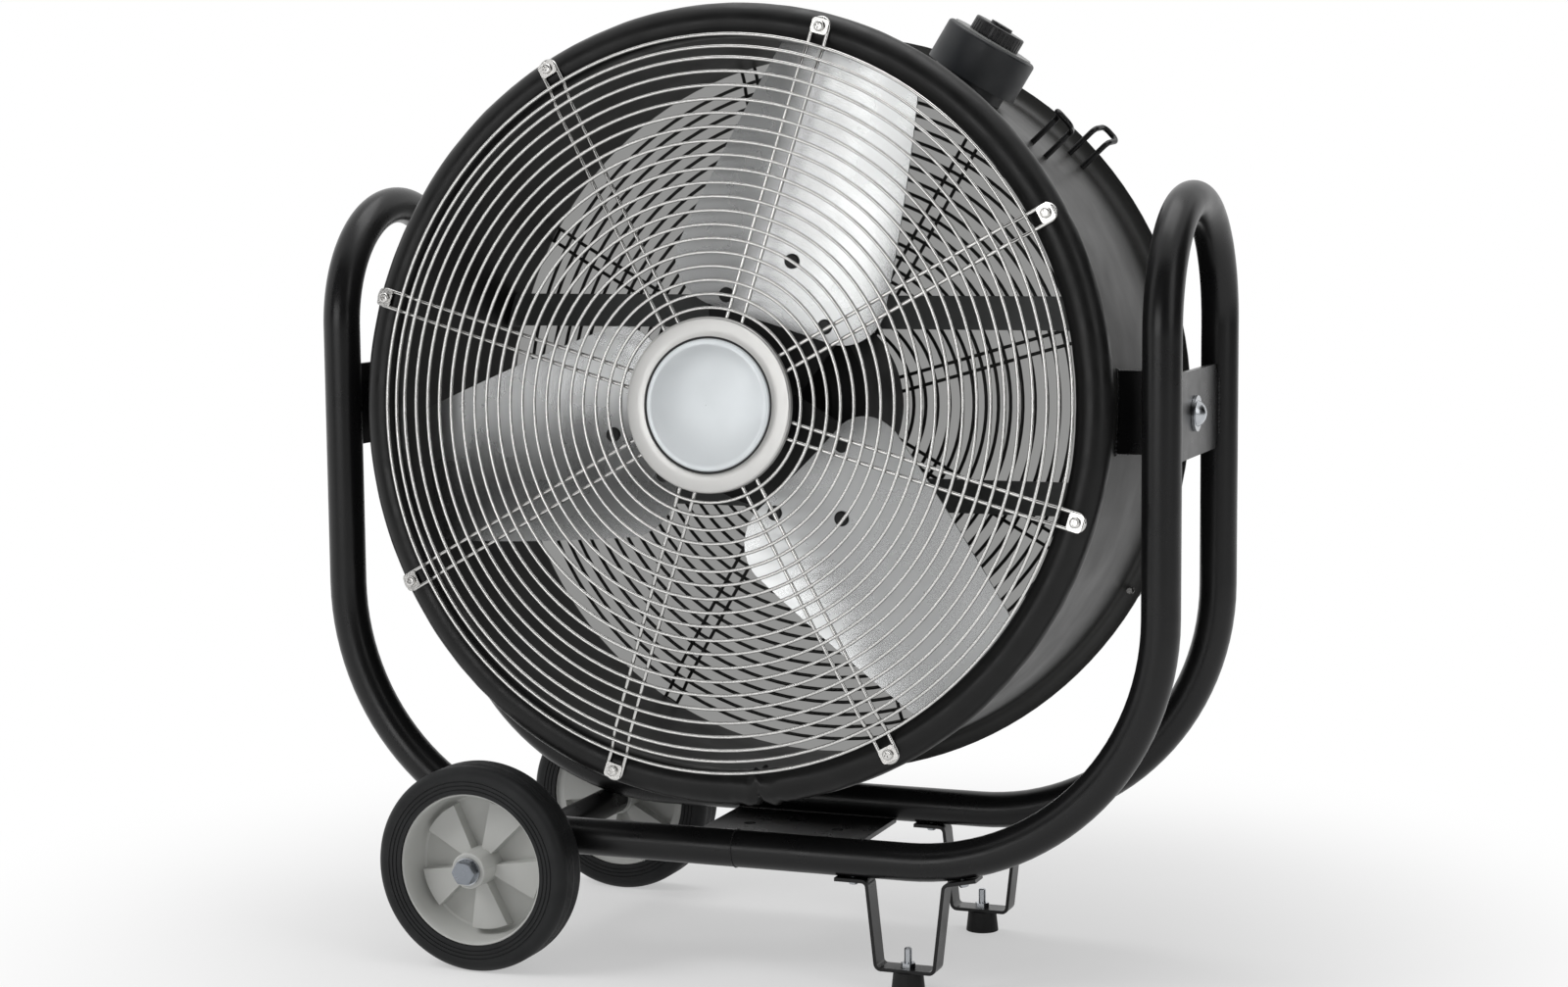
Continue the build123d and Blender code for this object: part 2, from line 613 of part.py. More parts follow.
def front_edge_trim():
    """Soft D-section edging pushed over the front flange."""
    section = Pos(TRIM_R, TRIM_Y) * Circle(TRIM_SECTION_R)
    inside = Pos(TRIM_INNER_R - TRIM_SECTION_R, TRIM_Y) * Rectangle(
        2 * TRIM_SECTION_R, 4 * TRIM_SECTION_R)
    trim = revolve(section - inside - shell_section(SEAT_GAP), Axis.Y)
    hole_r = CLIP_SCREW_D / 2 + HOLE_GAP
    for index in range(RIB_COUNT):
        trim -= clip_place(index) * rod_y(hole_r, TRIM_FRONT_Y - CUT_PAST, TRIM_Y + 2 * CUT_PAST)
    return trim


def trunnion_bracket(side):
    """Welded box on the drum's side that takes a pivot bolt, with its spacer boss."""
    inner_x = DRUM_R - SHEET_T
    depth = BRACKET_OUT_X - inner_x
    box = Pos(inner_x + depth / 2, 0, 0) * Box(depth, BRACKET_LEN, BRACKET_H)
    box = fillet(box.faces().sort_by(Axis.X)[-1].edges(), BRACKET_ROUND)
    hollow_depth = depth - BRACKET_WALL
    box -= Pos(inner_x + hollow_depth / 2, 0, 0) * Box(
        hollow_depth, BRACKET_LEN - 2 * BRACKET_WALL, BRACKET_H - 2 * BRACKET_WALL)
    box -= rod_y(DRUM_R + SEAT_GAP, -BRACKET_LEN, BRACKET_LEN)
    spacer_end = SIDE_X - TRUNNION_PLATE_T / 2 - FACE_GAP
    box += rod_x(PIVOT_SPACER_D / 2, BRACKET_OUT_X, spacer_end)
    box -= rod_x(PIVOT_BOLT_D / 2 + SEAT_GAP, BRACKET_OUT_X - 2 * BRACKET_WALL, spacer_end)
    return box if side > 0 else Rot(0, 0, 180) * box


def pivot_bolt():
    """Domed bolt through the frame's plate into the drum's bracket."""
    head_x = SIDE_X + TRUNNION_PLATE_T / 2 + FACE_GAP + PIVOT_WASHER_T + SEAT_GAP
    end_x = BRACKET_OUT_X - BRACKET_WALL - SEAT_GAP - PIVOT_NUT_H - PIVOT_THREAD_PAST
    shank = rod_x(PIVOT_BOLT_D / 2, end_x, head_x)
    outline = Line((head_x, 0), (head_x, PIVOT_HEAD_D / 2))
    outline += dome_arc(
        PIVOT_HEAD_D / 2, 0, PIVOT_HEAD_H, lambda radius, height: (head_x + height, radius))
    outline += Line((head_x + PIVOT_HEAD_H, 0), (head_x, 0))
    return shank + revolve(make_face(outline), Axis.X)


def pivot_washer():
    """Washer between the frame's plate and the pivot bolt's head."""
    start = SIDE_X + TRUNNION_PLATE_T / 2 + FACE_GAP
    ring = rod_x(PIVOT_WASHER_D / 2, start, start + PIVOT_WASHER_T)
    return ring - rod_x(PIVOT_BOLT_D / 2 + SEAT_GAP, start, start + PIVOT_WASHER_T)


def pivot_nut():
    """Nut on the pivot bolt, inside the drum's bracket."""
    end = BRACKET_OUT_X - BRACKET_WALL - SEAT_GAP
    nut = Rot(0, 90, 0) * hex_z(PIVOT_NUT_AF, end - PIVOT_NUT_H, end)
    return nut - rod_x(PIVOT_BOLT_D / 2 + SEAT_GAP, end - PIVOT_NUT_H, end)


def both_sides(shape):
    """A piece made for the right side, and its partner on the left."""
    return [shape, Rot(0, 0, 180) * shape]


# ---- guards ----------------------------------------------------------------------------
def dish_y(radius):
    """Middle of the front guard's rib wires at a distance from the axis."""
    if radius <= GUARD_EDGE_R:
        return GUARD_MIDDLE_Y + GUARD_DISH_R - sqrt(GUARD_DISH_R ** 2 - radius ** 2)
    share = min(1.0, (radius - GUARD_EDGE_R) / (GUARD_RIM_R - GUARD_EDGE_R))
    edge_y = dish_y(GUARD_EDGE_R)
    return edge_y + share * (GUARD_RIM_Y - edge_y)


def rear_y(radius):
    """Middle of the rear guard's rib wires at a distance from the axis."""
    rim_y = DRUM_REAR_Y + RIB_WIRE_R + SEAT_GAP
    share = min(1.0, max(0.0, (radius - REAR_STEP_R) / REAR_STEP_LEN))
    return REAR_GUARD_Y + share * (rim_y - REAR_GUARD_Y)


def ring_lift(profile, radius, ring_wire_r):
    """Distance along Y between a rib's middle and the ring wire that lies on it."""
    slope = profile(radius + 0.5) - profile(radius - 0.5)
    return (RIB_WIRE_R + ring_wire_r + SEAT_GAP) * sqrt(1 + slope ** 2)


def clip_place(index):
    """Turn and place of one front clip, in the drum's own frame."""
    return Rot(0, RIB_FIRST_DEG + index * 360 / RIB_COUNT, 0) * Pos(0, 0, CLIP_R)


def rear_clip_place(index):
    """Turn and place of one rear clip, in the drum's own frame."""
    return Rot(0, REAR_RIB_FIRST_DEG + index * 360 / RIB_COUNT, 0) * Pos(0, 0, REAR_CLIP_R)


def front_guard_rings():
    """The front guard's concentric wires, in front of the ribs."""
    radii = [RING_FIRST_R + index * RING_STEP for index in range(RING_COUNT)]
    radii.extend(RIM_RING_R)
    rings = []
    for radius in radii:
        y = dish_y(radius) - ring_lift(dish_y, radius, RING_WIRE_R)
        rings.append(hoop_wire(radius, RING_WIRE_R, y))
    return rings


def front_guard_rib():
    """One hairpin wire: two legs under the rings and a loop round its screw."""
    half = RIB_SPACING / 2
    middle_r = (RIB_INNER_R + GUARD_EDGE_R) / 2
    loop_r = CLIP_R + half
    radii = (RIB_INNER_R, middle_r, GUARD_EDGE_R, GUARD_RIM_R)
    left = [(-half, dish_y(radius), radius) for radius in radii]
    right = [(half, dish_y(radius), radius) for radius in reversed(radii)]
    loop = [(-half, GUARD_RIM_Y, loop_r), (half, GUARD_RIM_Y, loop_r)]
    corner = half - SEAT_GAP / 2
    leg_bends = [RIB_BEND_R] * 3
    path = FilletPolyline(*left, *loop, *right, radius=leg_bends + [corner, corner] + leg_bends)
    return round_wire(path, RIB_WIRE_R)


def front_clip():
    """Rounded plate that presses a rib's loop against the trim."""
    face = RectangleRounded(CLIP_W, CLIP_H, CLIP_ROUND)
    rear_y = GUARD_RIM_Y - RIB_WIRE_R - SEAT_GAP
    plate = Pos(0, rear_y, 0) * extrude(Plane.XZ * face, CLIP_T)
    return plate - rod_y(CLIP_SCREW_D / 2 + HOLE_GAP, rear_y - 2 * CLIP_T, rear_y)


def pan_screw(seat_y):
    """Cross-head screw whose head rests at seat_y and whose shank runs to the rear."""
    shank = rod_y(CLIP_SCREW_D / 2, seat_y, seat_y + CLIP_SCREW_LEN)
    head = rod_y(CLIP_HEAD_D / 2, seat_y - CLIP_HEAD_H, seat_y)
    head = fillet(head.edges().group_by(Axis.Y)[0], 0.6 * CLIP_HEAD_H)
    slot = Box(CROSS_SLOT_W, 2 * CROSS_SLOT_DEPTH, CROSS_SLOT_LEN)
    cross = slot + Rot(0, 90, 0) * slot
    return shank + (head - Pos(0, seat_y - CLIP_HEAD_H, 0) * cross)


def front_clip_screw():
    """Screw through a front clip, the loop, the trim and the flange."""
    return pan_screw(GUARD_RIM_Y - RIB_WIRE_R - 2 * SEAT_GAP - CLIP_T)


def guard_hub_cap():
    """Pressed annular cap over the inner ends of the front ribs."""
    back_y = GUARD_MIDDLE_Y - RIB_WIRE_R - 2 * SEAT_GAP
    front_y = back_y - HUB_CAP_DEPTH
    rim_in = HUB_CAP_R - HUB_CAP_T
    step_out = HUB_CAP_INNER_R + HUB_CAP_T
    section = make_face(Polyline(
        (HUB_CAP_INNER_R, front_y), (HUB_CAP_R, front_y), (HUB_CAP_R, back_y),
        (rim_in, back_y), (rim_in, front_y + HUB_CAP_T),
        (step_out, front_y + HUB_CAP_T), (step_out, back_y),
        (0, back_y), (0, back_y - HUB_CAP_T), (HUB_CAP_INNER_R, back_y - HUB_CAP_T), close=True))
    corner = section.vertices().sort_by_distance((HUB_CAP_R, front_y))[0]
    return revolve(fillet(corner, HUB_CAP_ROUND), Axis.Y)


def hub_badge():
    """Blank domed disc in the cap's recess, with a raised edge."""
    seat_y = GUARD_MIDDLE_Y - RIB_WIRE_R - 2 * SEAT_GAP - HUB_CAP_T - SEAT_GAP
    edge_y = seat_y - BADGE_EDGE_T
    ridge = (BADGE_R - BADGE_BEVEL, edge_y - BADGE_BEVEL_H)
    dome_r = BADGE_R - 2 * BADGE_BEVEL
    outline = Line((0, seat_y), (BADGE_R, seat_y)) + Line((BADGE_R, seat_y), (BADGE_R, edge_y))
    outline += Line((BADGE_R, edge_y), ridge)
    outline += Line(ridge, (dome_r, edge_y))
    outline += dome_arc(dome_r, edge_y, edge_y - BADGE_DOME, lambda radius, y: (radius, y))
    outline += Line((0, edge_y - BADGE_DOME), (0, seat_y))
    return revolve(make_face(outline), Axis.Y)


def guard_hub_plate():
    """Round plate behind the inner ends of the front ribs."""
    front_y = dish_y(HUB_PLATE_R) + RIB_WIRE_R + SEAT_GAP
    return rod_y(HUB_PLATE_R, front_y, front_y + HUB_PLATE_T)


def rear_guard_rings():
    """The rear guard's concentric wires, behind its ribs."""
    rings = []
    for index in range(REAR_RING_COUNT):
        radius = REAR_RING_FIRST_R + index * REAR_RING_STEP
        y = rear_y(radius) + ring_lift(rear_y, radius, REAR_RING_WIRE_R)
        rings.append(hoop_wire(radius, REAR_RING_WIRE_R, y))
    return rings


def rear_guard_rib():
    """One hairpin of the rear guard, stepped back over the flared flange."""
    half = REAR_RIB_SPACING / 2
    radii = (REAR_RIB_INNER_R, REAR_STEP_R, REAR_STEP_R + REAR_STEP_LEN, REAR_CLIP_R + half)
    left = [(-half, rear_y(radius), radius) for radius in radii]
    right = [(half, y, z) for (x, y, z) in reversed(left)]
    corner = half - SEAT_GAP / 2
    leg_bends = [REAR_RIB_BEND_R] * 2
    path = FilletPolyline(*left, *right, radius=leg_bends + [corner, corner] + leg_bends)
    return round_wire(path, RIB_WIRE_R)


def rear_clip():
    """Rounded plate that presses a rear rib's loop against the rear flange."""
    face = RectangleRounded(CLIP_W, CLIP_H, CLIP_ROUND)
    front_y = DRUM_REAR_Y + 2 * RIB_WIRE_R + 2 * SEAT_GAP
    plate = Pos(0, front_y + CLIP_T, 0) * extrude(Plane.XZ * face, CLIP_T)
    return plate - rod_y(CLIP_SCREW_D / 2 + HOLE_GAP, front_y, front_y + 2 * CLIP_T)


def rear_clip_screw():
    """Screw through a rear clip and the rear flange."""
    seat_y = DRUM_REAR_Y + 2 * RIB_WIRE_R + 3 * SEAT_GAP + CLIP_T
    return Rot(0, 0, 180) * pan_screw(-seat_y)


def rear_guard_hub_plate():
    """Round plate in front of the inner ends of the rear ribs."""
    back_y = REAR_GUARD_Y - RIB_WIRE_R - SEAT_GAP
    return rod_y(REAR_HUB_PLATE_R, back_y - HUB_PLATE_T, back_y)


# ---- motor -----------------------------------------------------------------------------
def bar_bolt_place(height, side):
    """Where a bar's bolt crosses the barrel, with Z pointing out along the radius."""
    lean = degrees(asin(height / DRUM_R))
    turn = side * (90 - lean)
    return Rot(0, turn, 0) * Pos(0, BAR_Y + BAR_TAB_LEN / 2, DRUM_R)


def motor_bar(height):
    """Flat bar across the drum with an end tab against the barrel on each side."""
    tab_out = sqrt((DRUM_R - SHEET_T - SEAT_GAP) ** 2 - (BAR_H / 2) ** 2)
    middle = Pos(0, BAR_Y + BAR_T / 2, height)
    reach = sqrt((DRUM_R - SHEET_T) ** 2 - (abs(height) + BAR_H / 2) ** 2) - BAR_END_GAP
    bar = middle * Box(2 * reach, BAR_T, BAR_H)
    lean = degrees(asin(height / DRUM_R))
    for side in (-1, 1):
        tab = Pos(0, BAR_Y + BAR_TAB_LEN / 2, tab_out - BAR_T / 2) * Box(BAR_H, BAR_TAB_LEN, BAR_T)
        bar += Rot(0, side * (90 - lean), 0) * tab
        bar -= bar_bolt_hole(height, side)
    for x in (-MOTOR_BOLT_X, MOTOR_BOLT_X):
        bar -= Pos(x, 0, height) * rod_y(MOTOR_BOLT_D / 2 + HOLE_GAP, BAR_Y - BAR_T, BAR_Y + 2 * BAR_T)
    return bar


def bar_bolt():
    """Round-head bolt through the barrel and a bar's tab, with its nut inside."""
    head_z = SEAT_GAP
    tab_inner = sqrt((DRUM_R - SHEET_T - SEAT_GAP) ** 2 - (BAR_H / 2) ** 2) - BAR_T - DRUM_R
    nut_out = tab_inner - SEAT_GAP
    shank = rod_z(BAR_BOLT_D / 2, nut_out - BAR_NUT_H - BAR_BOLT_PAST, head_z)
    head = rod_z(BAR_BOLT_HEAD_D / 2, head_z, head_z + BAR_BOLT_HEAD_H)
    head = fillet(head.edges().group_by(Axis.Z)[-1], 0.6 * BAR_BOLT_HEAD_H)
    nut = hex_z(BAR_NUT_AF, nut_out - BAR_NUT_H, nut_out)
    nut -= rod_z(BAR_BOLT_D / 2 + SEAT_GAP, nut_out - BAR_NUT_H, nut_out)
    return [shank + head, nut]


def motor_body():
    """Round motor housing with its laminated ring, open in the middle."""
    outer = rod_y(MOTOR_R, MOTOR_FRONT_Y, MOTOR_REAR_Y)
    return outer - rod_y(MOTOR_CORE_R, MOTOR_FRONT_Y, MOTOR_REAR_Y)


def motor_cover(seat_y, facing):
    """Tapered end cover with the bearing for the shaft."""
    wall = MOTOR_COVER_WALL
    top = MOTOR_COVER_H
    bore = SHAFT_D / 2 + RUN_GAP
    points = [(bore, top), (MOTOR_COVER_TOP_R, top), (MOTOR_R, wall), (MOTOR_R, 0),
              (MOTOR_R - 3 * wall, 0), (MOTOR_COVER_TOP_R - wall, top - wall), (3 * wall, top - wall),
              (3 * wall, 0), (bore, 0)]
    placed = [(radius, seat_y + facing * (SEAT_GAP + height)) for (radius, height) in points]
    return turned_y(placed)


def motor_front_cover():
    """Cover on the impeller's side of the motor."""
    return motor_cover(MOTOR_FRONT_Y, -1)


def motor_rear_cover():
    """Cover towards the bars, with four ears that bolt to them."""
    cover = motor_cover(MOTOR_REAR_Y, 1)
    ear_end = BAR_Y - SEAT_GAP
    ear_start = MOTOR_REAR_Y + SEAT_GAP
    for height in (BAR_UPPER_Z, BAR_LOWER_Z):
        for x in (-MOTOR_BOLT_X, MOTOR_BOLT_X):
            ear = Pos(x, 0, height) * rod_y(EAR_D / 2, ear_start, ear_end)
            web = Pos(EAR_WEB_IN * x, ear_start + EAR_WEB_T / 2, EAR_WEB_IN * height) * Box(
                EAR_WEB_W, EAR_WEB_T, EAR_WEB_H)
            cover += ear + web
            hole = rod_y(MOTOR_BOLT_D / 2 + SEAT_GAP, ear_end - MOTOR_BOLT_IN - SEAT_GAP, ear_end)
            cover -= Pos(x, 0, height) * hole
    return cover


def motor_bolt():
    """Screw from behind a bar into an ear of the motor's rear cover."""
    seat_y = BAR_Y + BAR_T + SEAT_GAP
    shank = rod_y(MOTOR_BOLT_D / 2, BAR_Y - MOTOR_BOLT_IN, seat_y)
    head = Rot(-90, 0, 0) * hex_z(MOTOR_BOLT_AF, seat_y, seat_y + MOTOR_BOLT_HEAD_H)
    return shank + head


# ---- impeller --------------------------------------------------------------------------
def motor_shaft():
    """Steel shaft through both motor covers, with the impeller on its front end."""
    end_y = MOTOR_REAR_Y + MOTOR_COVER_H
    shaft = rod_y(SHAFT_D / 2, SPIDER_BOSS_Y - SHAFT_PAST_BOSS, end_y)
    return chamfer(shaft.edges().group_by(Axis.Y)[0], 1.0)


def blade_front_y(x):
    """Front face of a blade's rolled sheet, x from its middle line."""
    crest_x = BLADE_CURVE_R * sin(radians(BLADE_PITCH_DEG))
    middle_y = BLADE_MIDDLE_Y - BLADE_CURVE_R * cos(radians(BLADE_PITCH_DEG))
    return middle_y + sqrt(BLADE_CURVE_R ** 2 - (x - crest_x) ** 2)


def rolled_sheet(offset, thickness, half, z_start, z_end):
    """Rolled strip along Z, its front face at an offset behind the blade's front face."""
    front = [(x, blade_front_y(x) + offset) for x in (-half, 0, half)]
    back = [(x, y + thickness) for (x, y) in front]
    section = make_face(ThreePointArc(*front) + Line(front[2], back[2])
                        + ThreePointArc(*back) + Line(front[0], back[0]))
    return Pos(0, 0, z_start) * extrude(section, z_end - z_start)


def blade_turn(index):
    """Angle of one blade's middle line, clockwise from the top."""
    return BLADE_FIRST_DEG + index * 360 / BLADE_COUNT


def rivet_places():
    """Rivet places on a blade: two at the sides and one further out, square to the sheet."""
    places = []
    crest_x = BLADE_CURVE_R * sin(radians(BLADE_PITCH_DEG))
    for (x, z) in ((-RIVET_SIDE_X, RIVET_SIDE_Z), (RIVET_SIDE_X, RIVET_SIDE_Z), (0, RIVET_TIP_Z)):
        lean = degrees(asin((crest_x - x) / BLADE_CURVE_R))
        places.append(Pos(x, blade_front_y(x), z) * Rot(0, 0, lean))
    return places


def rivet_hole():
    """Round cut for a rivet, through a blade and its arm."""
    return rod_y(RIVET_D / 2 + SEAT_GAP, -2 * SPIDER_T, 4 * SPIDER_T)


def spider_arm():
    """One arm, rolled like the blade that it carries."""
    outline = make_face(Polyline(
        (-SPIDER_ARM_START, 0), (-SPIDER_ARM_ROOT, RIVET_SIDE_Z - RIVET_HEAD_D),
        (-SPIDER_ARM_ROOT, RIVET_SIDE_Z + RIVET_HEAD_D), (-SPIDER_ARM_TIP, SPIDER_ARM_END),
        (SPIDER_ARM_TIP, SPIDER_ARM_END), (SPIDER_ARM_ROOT, RIVET_SIDE_Z + RIVET_HEAD_D),
        (SPIDER_ARM_ROOT, RIVET_SIDE_Z - RIVET_HEAD_D), (SPIDER_ARM_START, 0), close=True))
    sheet = rolled_sheet(BLADE_T + SEAT_GAP, SPIDER_T, SPIDER_ARM_ROOT + CUT_PAST,
                         -CUT_PAST, SPIDER_ARM_END + CUT_PAST)
    arm = sheet & extrude(Plane.XZ * outline, DRUM_R, both=True)
    for place in rivet_places():
        arm -= place * rivet_hole()
    return arm


def impeller_spider():
    """Boss with three rolled arms that carry the blades."""
    spider = rod_y(SPIDER_BOSS_R, SPIDER_BOSS_Y, SPIDER_BOSS_Y + SPIDER_BOSS_LEN)
    for index in range(BLADE_COUNT):
        spider += turned_to(blade_turn(index), spider_arm())
    bore_end = SPIDER_BOSS_Y + 2 * SPIDER_BOSS_LEN
    return spider - rod_y(SHAFT_D / 2 + RUN_GAP, SPIDER_BOSS_Y - SPIDER_BOSS_LEN, bore_end)


def blade_outline():
    """Planform of a blade: round root corners, gently curved sides."""
    root_flat = BLADE_HALF_ROOT - BLADE_ROOT_ROUND
    corner_z = BLADE_ROOT_Z + BLADE_ROOT_ROUND
    bulge = BLADE_ROOT_ROUND * sin(radians(45))
    tip_z = BLADE_TIP_R + CUT_PAST
    outline = Line((-root_flat, BLADE_ROOT_Z), (root_flat, BLADE_ROOT_Z))
    for side in (-1, 1):
        outline += ThreePointArc(
            (side * root_flat, BLADE_ROOT_Z),
            (side * (root_flat + bulge), corner_z - bulge),
            (side * BLADE_HALF_ROOT, corner_z))
        outline += ThreePointArc(
            (side * BLADE_HALF_ROOT, corner_z),
            (side * BLADE_HALF_MIDDLE, (corner_z + tip_z) / 2),
            (side * BLADE_HALF_TIP, tip_z))
    outline += Line((-BLADE_HALF_TIP, tip_z), (BLADE_HALF_TIP, tip_z))
    return make_face(outline)


def blade(index):
    """One rolled and pitched sheet blade, riveted to its arm."""
    sheet = rolled_sheet(0, BLADE_T, BLADE_HALF_ROOT + CUT_PAST, BLADE_ROOT_Z - CUT_PAST,
                         BLADE_TIP_R + CUT_PAST)
    cutter = extrude(Plane.XZ * blade_outline(), DRUM_R, both=True)
    paddle = sheet & cutter & rod_y(BLADE_TIP_R, -DRUM_R, DRUM_R)
    for place in rivet_places():
        paddle -= place * rivet_hole()
    return turned_to(blade_turn(index), paddle)


def rivet():
    """Domed rivet through a blade and its arm, from the blade's front face."""
    grip = BLADE_T + SPIDER_T + 3 * SEAT_GAP
    body = rod_y(RIVET_D / 2, -SEAT_GAP, grip)
    front_head = rod_y(RIVET_HEAD_D / 2, -SEAT_GAP - RIVET_HEAD_H, -SEAT_GAP)
    front_head = fillet(front_head.edges().group_by(Axis.Y)[0], 0.7 * RIVET_HEAD_H)
    return body + front_head + rod_y(RIVET_HEAD_D / 2, grip, grip + RIVET_HEAD_H / 2)


def blade_rivets():
    """All the rivets of the impeller."""
    return [turned_to(blade_turn(index), place * rivet())
            for index in range(BLADE_COUNT) for place in rivet_places()]


def impeller_nut():
    """Nut on the shaft's end in front of the spider's boss."""
    back_y = SPIDER_BOSS_Y - SEAT_GAP
    nut = Rot(-90, 0, 0) * hex_z(HUB_NUT_AF, back_y - HUB_NUT_H, back_y)
    return nut - rod_y(SHAFT_D / 2 + SEAT_GAP, back_y - HUB_NUT_H, back_y)


# ---- speed control and cord hooks ------------------------------------------------------
def on_control(shape):
    """Carry a piece made along Z from the drum's axis to the control's place."""
    return Rot(0, CONTROL_DEG, 0) * Pos(0, CONTROL_Y, 0) * shape


def control_base():
    """Saddle between the barrel and the control's box."""
    post = rod_z(CONTROL_BASE_D / 2, DRUM_R - CONTROL_BASE_D / 2, CONTROL_FLOOR_R - SEAT_GAP)
    return on_control(post) - rod_y(DRUM_R + SEAT_GAP, -DRUM_R, DRUM_R)


def control_box():
    """Round box that holds the speed switch, open below onto its saddle."""
    top = CONTROL_FLOOR_R + CONTROL_H
    box = rod_z(CONTROL_D / 2, CONTROL_FLOOR_R, top)
    box = fillet(box.edges().group_by(Axis.Z)[-1], CONTROL_EDGE)
    box -= rod_z(CONTROL_D / 2 - CONTROL_WALL, CONTROL_FLOOR_R + CONTROL_WALL, top - CONTROL_WALL)
    box -= rod_z(SPINDLE_D / 2 + RUN_GAP, top - 2 * CONTROL_WALL, top)
    gland_z = CONTROL_FLOOR_R + CONTROL_H / 2
    bore = Pos(0, 0, gland_z) * rod_y(GLAND_BORE_D / 2, 0, CONTROL_D)
    return on_control(box - bore)


def control_face():
    """Plain round plate on top of the box, under the knob."""
    start = CONTROL_FLOOR_R + CONTROL_H + SEAT_GAP
    plate = rod_z(CONTROL_FACE_D / 2, start, start + CONTROL_FACE_T)
    return on_control(plate - rod_z(SPINDLE_D / 2 + HOLE_GAP, start, start + CONTROL_FACE_T))


def speed_knob():
    """Grooved knob with a raised cap and its own spindle."""
    start = CONTROL_FLOOR_R + CONTROL_H + SEAT_GAP + CONTROL_FACE_T + FACE_GAP
    knob = rod_z(KNOB_D / 2, start, start + KNOB_H)
    knob = fillet(knob.edges().group_by(Axis.Z)[-1], KNOB_ROUND)
    for index in range(KNOB_GRIPS):
        groove = rod_z(KNOB_GRIP_R, start - KNOB_GRIP_END, start + KNOB_H - KNOB_GRIP_END)
        knob -= Rot(0, 0, index * 360 / KNOB_GRIPS) * Pos(KNOB_D / 2 + KNOB_GRIP_OUT, 0, 0) * groove
    knob += rod_z(KNOB_CAP_D / 2, start + KNOB_H, start + KNOB_H + KNOB_CAP_H)
    knob += rod_z(SPINDLE_D / 2, start + KNOB_H - SPINDLE_LEN, start + 1)
    return on_control(knob)


def cord_gland():
    """Threaded collar where the mains cord enters the control's box."""
    start = CONTROL_D / 2 + SEAT_GAP
    collar = rod_y(GLAND_D / 2, start, start + GLAND_LEN)
    collar += Rot(-90, 0, 0) * hex_z(GLAND_NUT_AF, start, start + GLAND_NUT_H)
    collar -= rod_y(GLAND_BORE_D / 2, start, start + GLAND_LEN)
    return on_control(Pos(0, 0, CONTROL_FLOOR_R + CONTROL_H / 2) * collar)


def cord_hook(y, facing):
    """U-shaped wire hook welded to the barrel, its end leaning front (-1) or rear (1)."""
    half = HOOK_SPACING / 2
    foot_z = DRUM_R - 2 * HOOK_WIRE_D
    top_z = DRUM_R + HOOK_H
    tip = (y + facing * HOOK_REACH, top_z + HOOK_LIFT)
    points = [(-half, y, foot_z), (-half, y, top_z), (-half, *tip),
              (half, *tip), (half, y, top_z), (half, y, foot_z)]
    path = FilletPolyline(*points, radius=HOOK_BEND_R)
    wire = round_wire(path, HOOK_WIRE_D / 2)
    return Rot(0, HOOK_DEG, 0) * wire - rod_y(DRUM_R + SEAT_GAP, -DRUM_R, DRUM_R)


# ---- assembly --------------------------------------------------------------------------
def repeated(places, shape):
    """The same piece at several places."""
    return [place * shape for place in places]


def frame_nodes():
    """Everything that stands still on the floor."""
    feet_y = (-SIDE_Y, SIDE_Y)
    return {
        "front_cradle_tube": cradle_tube(-SIDE_Y),
        "rear_cradle_tube": cradle_tube(SIDE_Y),
        "left_hoop": hoop(-SIDE_X),
        "right_hoop": hoop(SIDE_X),
        "left_trunnion_plate": trunnion_plate(-1),
        "right_trunnion_plate": trunnion_plate(1),
        "base_plate": base_plate(),
        "axle_tube": axle_tube(),
        "axle_plugs": [on_axle(side, axle_plug()) for side in (-1, 1)],
        "axle_bolts": [on_axle(side, axle_bolt()) for side in (-1, 1)],
        "axle_washers": [on_axle(side, washer) for side in (-1, 1) for washer in axle_washers()],
        "foot_straps": [foot_strap(y) for y in feet_y],
        "foot_strap_screws": [strap_screw(offset, y) for y in feet_y
                              for offset in (-STRAP_SCREW_AT, STRAP_SCREW_AT)],
        "rubber_feet": [rubber_foot(y) for y in feet_y],
        "foot_studs": [foot_stud(y) for y in feet_y],
        "foot_nuts": [foot_nut(y) for y in feet_y],
    }


def wheel_nodes():
    """The two wheels."""
    return {
        "front_tyre": on_axle(-1, tyre()),
        "front_wheel_hub": on_axle(-1, wheel_hub()),
        "rear_tyre": on_axle(1, tyre()),
        "rear_wheel_hub": on_axle(1, wheel_hub()),
    }


